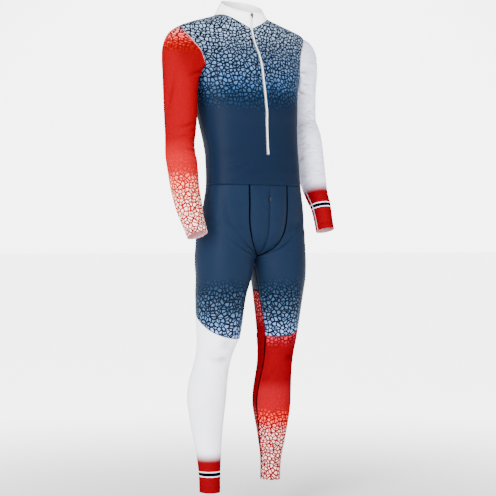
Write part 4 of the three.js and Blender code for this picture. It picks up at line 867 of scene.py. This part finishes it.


# Printed cloth: each ramp row is a height in metres above the floor, the cells' colour and the lines' colour.
# the last entry is how much the creases are darkened: painted shade
navyLook = {"cell": 12.5, "line": 4.0, "rough": 0.45, "shine": 0.02, "fold": 0.4}
# The thigh navy is the chest navy made lighter: painted light, where the hips catch more light.
chestPlain, thighPlainLit = (34, 52, 80), (40, 60, 89)
chestPrint = {
    "cells": ((1.235, chestPlain), (1.270, (44, 76, 112)), (1.299, (72, 112, 150)), (1.317, (104, 143, 180)),
              (1.335, (116, 150, 184)), (1.370, (136, 164, 192)), (1.424, (156, 175, 196)), (1.477, (188, 200, 213))),
    "lines": ((1.235, chestPlain), (1.281, (17, 36, 62)), (1.317, (13, 32, 56)), (1.370, (12, 24, 42)),
              (1.477, (14, 22, 34))),
    "begins": (1.235, 1.30)}
thighPrint = {
    "cells": ((0.745, thighPlainLit), (0.715, (50, 80, 110)), (0.640, (112, 140, 168)), (0.604, (150, 176, 202)),
              (0.575, (182, 200, 222))),
    "lines": ((0.745, thighPlainLit), (0.690, (15, 31, 53)), (0.600, (12, 25, 43))),
    "begins": (0.745, 0.68)}


def navyMaterial(name, seed, printed):
    t, look = Tree(name), navyLook
    mask = t.cells(look["cell"], look["line"], seed)
    floorZ = t.calc("ADD", t.z, ground)
    shade = t.calc("ADD", t.calc("MULTIPLY", t.tint(look["cell"], seed), 0.3), 0.78)
    cells = t.blend(t.fade(floorZ, *printed["begins"]), t.ramp(floorZ, printed["cells"]),
                    t.blend(shade, (0, 0, 0), (255, 255, 255)), "MULTIPLY")
    colour = t.blend(mask, t.ramp(floorZ, printed["lines"]), cells)
    t.knit(0.3)
    return t.finish(colour, look["rough"], look["shine"], look["fold"])


# the last entry is how much the creases are darkened: painted shade
redLook = {"cell": 11.5, "line": 3.9, "rough": 0.52, "fold": 0.45}
plain, deep, calf = (0.52, 0.0002, 0.009), (0.47, 0.0002, 0.010), (0.36, 0.0004, 0.008)
armPrint = (
    (1.488, (3.6, 0.95, 1.0), (0.25, 0.03, 0.04)), (1.466, (3.2, 0.55, 0.45), (0.36, 0.01, 0.015)),
    (1.446, (1.9, 0.06, 0.05), (0.42, 0.002, 0.006)), (1.424, (0.8, 0.006, 0.01), (0.40, 0.001, 0.004)),
    (1.398, plain, plain), (1.15, plain, plain), (1.10, (0.95, 0.012, 0.026), (0.9, 0.01, 0.02)),
    (1.055, (1.2, 0.03, 0.04), (0.8, 0.01, 0.018)), (1.010, (3.4, 0.9, 0.6), (0.7, 0.006, 0.012)),
    (0.965, (3.5, 1.9, 1.5), (0.6, 0.008, 0.014)), (0.86, (3.5, 2.1, 1.8), (0.40, 0.012, 0.02)))
shinPrint = (
    (0.62, (1.9, 0.12, 0.2), (0.2, 0.012, 0.018)), (0.569, (1.8, 0.07, 0.14), (0.2, 0.01, 0.016)),
    (0.527, deep, deep), (0.425, deep, deep), (0.39, (0.8, 0.008, 0.026), (0.74, 0.006, 0.02)),
    (0.335, (0.98, 0.006, 0.026), (0.8, 0.004, 0.018)), (0.308, (3.2, 0.05, 0.03), (0.5, 0.006, 0.01)),
    (0.284, (3.6, 0.35, 0.33), None), (0.26, (3.5, 1.6, 1.5), (0.45, 0.006, 0.012)),
    (0.10, (3.5, 1.8, 1.75), (0.42, 0.008, 0.016)))
calfPrint = (
    (0.71, (1.4, 0.25, 0.28), (0.18, 0.008, 0.014)), (0.64, (1.1, 0.14, 0.17), (0.2, 0.008, 0.014)),
    (0.587, calf, (0.35, 0.0004, 0.008)), (0.36, calf, (0.35, 0.0004, 0.008)),
    (0.30, (1.2, 0.14, 0.17), (0.24, 0.014, 0.02)), (0.10, (1.5, 0.4, 0.4), (0.24, 0.03, 0.03)))


def redMaterial(name, seed, rows):
    t, look = Tree(name), redLook
    floorZ = t.calc("ADD", t.z, ground)
    lines = t.ramp(floorZ, [(z, line) for z, cell, line in rows if line])
    cells = t.ramp(floorZ, [(z, cell) for z, cell, line in rows])
    colour = t.blend(t.cells(look["cell"], look["line"], seed), lines, cells)
    t.knit(0.3)
    return t.finish(colour, look["rough"], 0.0, look["fold"])


# The last four entries paint the shade of fine wrinkles as darker streaks.
bandLook = {"white": (0.0084, 0.0078), "dark": (0.0054, 0.0048),  # half widths where each band begins and is full
            "whiteColour": (228, 228, 232), "darkColour": (8, 10, 22), "above": 0.024, "below": 0.014,
            "wrinkleShadeStretch": (34, 150), "wrinkleShadeEdge": (0.48, 0.74), "wrinkleShadeShare": 0.65, "wrinkleShadeColour": (196, 196, 203)}


def bandMaterial(name, pale, begin, centre, fine=0.0):  # begin and centre are metres up from the edge
    t, look = Tree(name), bandLook
    body = t.blend(t.noise(14.0), pale, tuple(max(0, c - 5) for c in pale))
    if fine:  # painted shade of small wrinkles across the sleeve, in darker streaks
        wrinkleShade = t.fade(t.noise(1.0, 4.0, t.stretched(*look["wrinkleShadeStretch"])), *look["wrinkleShadeEdge"])
        body = t.blend(t.calc("MULTIPLY", wrinkleShade, look["wrinkleShadeShare"]), body, look["wrinkleShadeColour"])
    colour = t.blend(t.fade(t.v, begin + look["above"], begin - look["below"]), body, deep)
    far = t.calc("ABSOLUTE", t.calc("SUBTRACT", t.v, centre))
    for band in ("white", "dark"):
        colour = t.blend(t.fade(far, *look[band]), colour, look[band + "Colour"])
    t.knit(0.8 if fine else 0.3, fine)
    # the last figure darkens the creases: painted shade
    return t.finish(colour, 0.6, 0.0, 0.6)


def plainMaterial(name, colour, rough, fold=0.0):
    t = Tree(name)
    t.knit(0.3)
    return t.finish(colour, rough, fold=fold)


materials = {
    "front_body": navyMaterial("navyFront", 0.0, chestPrint), "back_body": navyMaterial("navyBack", 3.1, chestPrint),
    "sleeve_right": redMaterial("redSleeve", 1.2, armPrint),
    "sleeve_left": bandMaterial("paleSleeve", (226, 226, 231), 0.134, 0.077, fine=2.6),
    "front_shank_left": redMaterial("redShin", 4.4, shinPrint),
    "back_shank_left": redMaterial("redCalf", 5.2, calfPrint),
    # the collar's last figure darkens its creases: painted shade
    "collar": plainMaterial("whiteCollar", (238, 239, 240), 0.6, 0.5)}
for name, title in (("front", "whiteShin"), ("back", "whiteCalf")):
    materials[name + "_shank_right"] = bandMaterial(title, (233, 233, 235), 0.103, 0.055)
for side in sign:
    for name, title, seed in (("front_thigh", "FrontThigh", 7), ("back_thigh", "BackThigh", 9), ("pouch", "Pouch", 12)):
        materials[f"{name}_{side}"] = navyMaterial(f"navy{title}{side}", seed + sign[side], thighPrint)
inside = plainMaterial("paleInside", (214, 186, 190), 0.7)


def threadMaterial(name, colour, rough=0.7):
    t = Tree(name)
    t.knit(0.2)
    return t.finish(t.blend(t.noise(400.0), colour, tuple(type(c)(c * 0.82) for c in colour)), rough, 0.0)


threads = {
    "navy": threadMaterial("navyThread", (35, 53, 82)), "blue": threadMaterial("blueThread", (84, 106, 134)),
    "black": threadMaterial("blackThread", (7, 8, 13)), "red": threadMaterial("redThread", (0.45, 0.0006, 0.011)),
    "white": threadMaterial("whiteThread", (226, 226, 230)), "tape": threadMaterial("tapeWeave", (240, 243, 248), 0.6)}
print("materials made")

# Cloth shells.
made = {}
for name, p in panels.items():
    outer = p["out"].reshape(-1, 3)
    inner = outer - p["normal"].reshape(-1, 3) * cloth["wall"]
    n, quads = len(outer), p["quads"]
    edges = np.concatenate([quads[:, [i, (i + 1) % 4]] for i in range(4)])
    key, back = edges[:, 0] * n + edges[:, 1], edges[:, 1] * n + edges[:, 0]
    rim = edges[~np.isin(key, back)]
    used = np.unique(quads)
    index = np.full(n, -1)
    index[used] = np.arange(len(used))
    m = len(used)
    faces = np.concatenate([index[quads], index[quads[:, ::-1]] + m])
    rims = np.stack([index[rim[:, 1]], index[rim[:, 0]], index[rim[:, 0]] + m, index[rim[:, 1]] + m], 1)
    points = np.concatenate([outer[used], inner[used]])
    uv, fold = (np.concatenate([p[kind][used]] * 2) for kind in ("uv", "fold"))
    faces = np.concatenate([faces, rims]).tolist()
    made[name] = addMesh("cloth_" + name, points, faces, materials[name], uv, 2 * len(quads), True, fold)
    made[name].data.materials.append(materials["collar"] if name == "collar" else inside)
    for face in made[name].data.polygons[len(quads):2 * len(quads)]:
        face.material_index = 1
    a, b, c, d = (outer[quads[:, i]] for i in range(4))
    p["area"] = float(np.linalg.norm(np.cross(c - a, d - b), axis=1).sum() / 2 / 1e6)
    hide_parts(name)
print("cloth made", {name: round(p["area"], 3) for name, p in panels.items()})

# Seams: a soft flat ribbon along each, with thread sewn to and fro over it.
seamLook = {"wide": 3.4, "high": 0.35, "step": 4.0, "pitch": 2.4, "thread": 0.2, "reach": 0.40}
softSeam = {**seamLook, "wide": 2.2, "high": 0.12, "thread": 0.14}


def along(name, first, last, edge):  # points and normals of part of one edge of a piece, in coarse steps
    p = panels[name]
    part = slice(first * p["k"], last * p["k"] + 1)
    end = 0 if edge in ("top", "first") else -1
    place = (end, part) if edge in ("top", "bottom") else (part, end)
    return p["out"][place], p["normal"][place]


def resample(points, normals, pitch, closed=False):
    if closed:
        points, normals = np.concatenate([points, points[:1]]), np.concatenate([normals, normals[:1]])
    length = np.concatenate([[0], np.cumsum(np.linalg.norm(np.diff(points, axis=0), axis=1))])
    n = max(3, int(length[-1] / pitch))
    at = np.linspace(0, length[-1], n + 1)[: n if closed else n + 1]
    p = np.stack([np.interp(at, length, points[:, i]) for i in range(3)], -1)
    q = np.stack([np.interp(at, length, normals[:, i]) for i in range(3)], -1)
    return p, q / np.linalg.norm(q, axis=1, keepdims=True)


def frameOf(p, q, closed=False):
    t = np.roll(p, -1, 0) - np.roll(p, 1, 0) if closed else np.gradient(p, axis=0)
    t /= np.linalg.norm(t, axis=1, keepdims=True)
    b = np.cross(q, t)
    return t, b / np.linalg.norm(b, axis=1, keepdims=True)


def tubeFaces(rings, sides, closed):
    faces = []
    for i in range(rings if closed else rings - 1):
        n = (i + 1) % rings
        for s in range(sides):
            t = (s + 1) % sides
            faces.append((i * sides + s, n * sides + s, n * sides + t, i * sides + t))
    if not closed:
        faces.append(tuple(range(sides)))
        faces.append(tuple((rings - 1) * sides + s for s in range(sides))[::-1])
    return faces


parts = {}


def collect(name, points, faces, thread, cloth):
    have = parts.setdefault(name, {"points": [], "faces": [], "count": 0, "thread": thread, "cloth": cloth})
    have["faces"] += [tuple(v + have["count"] for v in f) for f in faces]
    have["points"].append(points)
    have["count"] += len(points)


def addSeam(group, thread, points, normals, of, closed=False, look=seamLook):
    p, q = resample(points, normals, look["step"], closed)
    t, b = frameOf(p, q, closed)
    w, h = look["wide"] / 2, look["high"]
    profile = ((-w, -0.5), (-w, 0.3 * h), (-0.45 * w, 0.9 * h), (0, 0.75 * h), (0.45 * w, 0.9 * h), (w, 0.3 * h),
               (w, -0.5))
    ring = np.stack([p + b * x + q * y for x, y in profile], 1)
    collect(group, ring.reshape(-1, 3), tubeFaces(len(p), len(profile), closed), thread, of)
    p, q = resample(points, normals, look["pitch"], closed)
    t, b = frameOf(p, q, closed)
    sway = np.where(np.arange(len(p)) % 2, 1, -1)[:, None]
    middle = p + b * sway * look["wide"] * look["reach"] + q * (0.85 * h + 0.05)
    r = look["thread"]
    ring = np.stack([middle + t * r, middle + q * r, middle - t * r, middle - q * r * 0.6], 1)
    collect(group, ring.reshape(-1, 3), tubeFaces(len(p), 4, closed), thread, of)


def addEdge(group, thread, name, first, last, edge, look=seamLook):
    addSeam(group, thread, *along(name, first, last, edge), name, look=look)


for side in sign:
    right = side == "right"
    sleeve, thigh, shank = f"sleeve_{side}", f"front_thigh_{side}", f"front_shank_{side}"
    inner, outer = ("last", "first") if right else ("first", "last")
    first, last = (0, shoulderCols) if right else (frontCols - shoulderCols, frontCols)
    p, colour = panels[sleeve], "red" if right else "white"
    under = (arm if right else arm - 1) * p["k"]  # the column along the arm's inner side
    addSeam(f"armhole_seam_{side}", colour, p["out"][0], p["normal"][0], sleeve, True)
    addSeam(f"sleeve_seam_{side}", colour, p["out"][:, under], p["normal"][:, under], sleeve)
    addEdge(f"shoulder_seam_{side}", "navy", "front_body", first, last, "top", softSeam)
    addEdge(f"side_seam_{side}", "navy", "front_body", arm, arm + count["side"], outer, softSeam)
    addEdge(f"pouch_seam_{side}", "black", thigh, 0, toCrotch, inner, {**seamLook, "wide": 5.0})
    addEdge(f"inseam_upper_{side}", "navy", thigh, backRows, thighRows, inner, softSeam)
    addEdge(f"inseam_lower_{side}", "white" if right else "black", shank, 0, count["shank"], inner,
            seamLook if right else {**seamLook, "wide": 4.6})
    addEdge(f"outseam_upper_{side}", "navy", thigh, 0, thighRows, outer, softSeam)
    addEdge(f"outseam_lower_{side}", "white" if right else "red", shank, 0, count["shank"], outer)
    addEdge(f"knee_seam_{side}", "blue", thigh, 0, count["leg"], "bottom", softSeam)
    addEdge(f"back_knee_seam_{side}", "navy", f"back_thigh_{side}", 0, backHalf, "bottom")
addEdge("collar_seam", "blue", "collar", 0, collarCols, "bottom", softSeam)
addEdge("waist_seam_front", "navy", "front_body", 0, frontCols, "bottom", softSeam)
addEdge("waist_seam_back", "navy", "back_body", 0, 2 * backHalf, "bottom", softSeam)
addEdge("crotch_seam", "navy", "front_thigh_left", toCrotch, backRows, "first")
addEdge("fly_seam", "navy", "pouch_left", 0, count["pouchRows"], "first", softSeam)
addEdge("seat_seam", "navy", "back_thigh_right", 0, backRows, "first", softSeam)


def addBlocks(group, thread, centre, axes, size, of):  # small boxes, one at each centre; size is half their sides
    corners = ((-1, -1), (1, -1), (1, 1), (-1, 1))
    box = [centre + axes[0] * i * size[0] + axes[1] * j * size[1] + axes[2] * h * size[2]
           for h in (-1, 1) for i, j in corners]
    sides = ((0, 3, 2, 1), (4, 5, 6, 7), (0, 1, 5, 4), (1, 2, 6, 5), (2, 3, 7, 6), (3, 0, 4, 7))
    faces = [tuple(n * 8 + v for v in f) for n in range(len(centre)) for f in sides]
    collect(group, np.stack(box, 1).reshape(-1, 3), faces, thread, of)


stitch = {"pitch": 3.0, "size": (0.95, 0.32, 0.3), "apart": 4.5, "cuff": 13, "hem": 14, "float": 0.1,
          "cuffStep": 27.0, "hemStep": 6.3}  # the steps are how long the rows of the cloth's grid are there


def addStitches(group, thread, name, row, offset, closed):  # rows of short stitches beside an edge
    p = panels[name]
    p0, q0 = resample(p["out"][row], p["normal"][row], stitch["pitch"], closed)
    t, b = frameOf(p0, q0, closed)
    for x in offset:
        addBlocks(group, thread, p0 + b * x + q0 * stitch["float"], (t, b, q0), stitch["size"], name)


twoRows = (0, stitch["apart"])
for side in sign:
    low = -1 - round(stitch["hem"] / stitch["hemStep"])
    row = -1 - round(stitch["cuff"] / (stitch["cuffStep"] / cloth["fineSleeve"]))
    addStitches(f"cuff_stitches_{side}", "white" if side == "right" else "red", f"sleeve_{side}", row, twoRows, True)
    for piece in ("front_shank", "back_shank"):
        addStitches(f"hem_stitches_{side}", "red", f"{piece}_{side}", low, twoRows, False)
for row in (3, -4):
    addStitches("collar_stitches", "white", "collar", row, (0,), False)
print("seams made", len(parts))

# Zip: a woven tape in the slit, with two rows of small teeth that mesh in the middle.
zipLook = {"proud": 0.35, "thick": 1.1, "pitch": 1.7, "tooth": (0.95, 0.425, 0.31), "rise": 0.25, "apart": 0.75}
c, f = panels["collar"], panels["front_body"]
slitRows, slit = slice(1, zipRow * f["k"] + 1), frontHalf * f["k"]
left = np.concatenate([c["out"][:, 0], f["out"][slitRows, slit + f["k"]]])
right = np.concatenate([c["out"][:, -1], f["out"][slitRows, slit]])
if left[0, 0] < right[0, 0]:
    left, right = right, left
mid = (left + right) / 2
across = (left - right) / np.linalg.norm(left - right, axis=1, keepdims=True)
down = np.gradient(mid, axis=0)
off = np.cross(down, across)
off /= np.linalg.norm(off, axis=1, keepdims=True)
if off[len(off) // 2, 1] > 0:
    off = -off
shape = ((-1, 0.0), (-0.58, 0.35), (-0.35, 0.3), (-0.22, 0.05), (0.22, 0.05), (0.35, 0.3), (0.58, 0.35), (1, 0.0))
halfWide = (np.linalg.norm(left - right, axis=1) / 2 - 0.15)[:, None]
top = [mid + across * halfWide * x + off * (zipLook["proud"] + y) for x, y in shape]
under = [mid + across * halfWide * x + off * (zipLook["proud"] - zipLook["thick"]) for x in (1, -1)]
ring = np.stack(top + under, 1)
sides = ring.shape[1]
collect("zip_tape", ring.reshape(-1, 3), tubeFaces(len(mid), sides, False), "tape", None)
for way in (-1, 1):
    p0, q0 = resample(mid, off, zipLook["pitch"])
    t, b = frameOf(p0, q0)
    p0 = p0[5:-2] + (t[5:-2] * zipLook["pitch"] / 2 if way > 0 else 0)
    q0, t, b = q0[5:-2], t[5:-2], b[5:-2]
    centre = p0 + b * way * zipLook["apart"] + q0 * (zipLook["proud"] + zipLook["rise"])
    addBlocks("zip_teeth", "tape", centre, (b, t, q0), zipLook["tooth"], None)

trim = {}
for name, part in parts.items():
    points = np.concatenate(part["points"])
    uv = np.stack([points[:, 0], points[:, 2]], -1)
    soft = "stitch" not in name and "teeth" not in name
    trim[name] = addMesh(name, points, part["faces"], threads[part["thread"]], uv, smooth=soft)
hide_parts("zip_chain")
trim["zip_tape"].data.materials.append(threads["navy"])  # below the collar the tape's edges are navy
for face in trim["zip_tape"].data.polygons[len(c["out"]) * sides:(len(mid) - 1) * sides]:
    face.material_index = 1 if face.index % sides in (0, len(shape) - 2) else 0
print("trim made", sum(len(o.data.polygons) for o in trim.values()))

# The small hard parts keep their solids.
satin = Tree("satinMetal").finish((92, 98, 108), 0.32, 0.5, metal=1.0)
paint = Tree("darkPaint")
dark = paint.finish(paint.blend(paint.noise(900.0), (26, 28, 34), (34, 36, 42)), 0.4, 0.4, coat=0.1)
for name in ("zip_slider", "zip_pull", "zip_stop", "fly_slider", "fly_pull"):
    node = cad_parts[name]
    node.data.materials.clear()
    node.data.materials.append(satin if name == "fly_pull" else dark)

for piece in [*made.values(), *trim.values()]:
    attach(piece, "suit")

# Floor, light and camera.
floorLook = {"size": 400, "near": 0.3, "far": 3.2, "glow": 4.0}
bpy.ops.mesh.primitive_plane_add(size=floorLook["size"], location=(0, 0, -ground))
floor = bpy.context.object
floor.name = "floor"
pale = Tree("paleFloor")
floor.data.materials.append(pale.finish((3.42, 3.42, 3.42), 0.9))
pale.shader.inputs["Emission Color"].default_value = (1, 1, 1, 1)
far = pale.node("ShaderNodeVectorMath")  # painted light: the floor glows, more away from the suit, standing in for a floor that runs on into a white wall
far.operation = "LENGTH"
pale.link(pale.node("ShaderNodeTexCoord").outputs["Object"], far.inputs[0])
glow = pale.calc("MULTIPLY", pale.fade(far.outputs["Value"], floorLook["near"], floorLook["far"]), floorLook["glow"])
pale.link(glow, pale.shader.inputs["Emission Strength"])
floor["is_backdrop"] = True
world = bpy.data.worlds.new("studio")
bpy.context.scene.world = world
world.use_nodes = True
sky = world.node_tree
skyLook = {"around": 1.0, "bright": 6.0, "from": 0.93, "to": 0.984}  # bright behind the suit and before it
facing = sky.nodes.new("ShaderNodeVectorMath")
facing.operation = "DOT_PRODUCT"
facing.inputs[1].default_value = (0.5446, 0.8387, 0)
sky.links.new(sky.nodes.new("ShaderNodeTexCoord").outputs["Generated"], facing.inputs[0])
both = sky.nodes.new("ShaderNodeMath")
for n, way in enumerate((1, -1)):
    lobe = sky.nodes.new("ShaderNodeMapRange")
    lobe.interpolation_type = "SMOOTHSTEP"
    lobe.inputs["From Min"].default_value = way * skyLook["from"]
    lobe.inputs["From Max"].default_value = way * skyLook["to"]
    lobe.inputs["To Min"].default_value = skyLook["around"] / 2
    lobe.inputs["To Max"].default_value = skyLook["bright"] - skyLook["around"] / 2
    sky.links.new(facing.outputs["Value"], lobe.inputs["Value"])
    sky.links.new(lobe.outputs["Result"], both.inputs[n])
sky.nodes["Background"].inputs["Color"].default_value = (1, 1, 1, 1)
sky.links.new(both.outputs[0], sky.nodes["Background"].inputs["Strength"])

lightLook = {
    "key": {"place": (-3.3, -2.3, 0.3), "aim": (0, 0, -0.8), "size": 1.8, "power": 430},
    "fill": {"place": (1.6, -3.2, 0.2), "aim": (0, 0, -0.8), "size": 2.2, "power": 30},
    "rim": {"place": (1.8, 2.4, 0.8), "aim": (0, 0, -0.6), "size": 1.6, "power": 12}}
for name, look in lightLook.items():
    lamp = bpy.data.objects.new(name, bpy.data.lights.new(name, "AREA"))
    lamp.data.size, lamp.data.energy = look["size"], look["power"]
    lamp.location = look["place"]
    lamp.rotation_euler = (Vector(look["aim"]) - Vector(look["place"])).to_track_quat("-Z", "Y").to_euler()
    bpy.context.scene.collection.objects.link(lamp)

eye = {"back": (-0.5446, -0.8387, 0.0), "far": 4.4, "aim": (0, -0.055, -0.70), "lens": 105.1}
camera = bpy.data.objects.new("camera", bpy.data.cameras.new("camera"))
back = Vector(eye["back"]).normalized()
camera.location = Vector(eye["aim"]) + back * eye["far"]
camera.rotation_euler = (-back).to_track_quat("-Z", "Y").to_euler()
camera.data.lens, camera.data.sensor_width, camera.data.shift_x = eye["lens"], 36, -0.002
bpy.context.scene.collection.objects.link(camera)
bpy.context.scene.camera = camera

low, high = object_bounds()
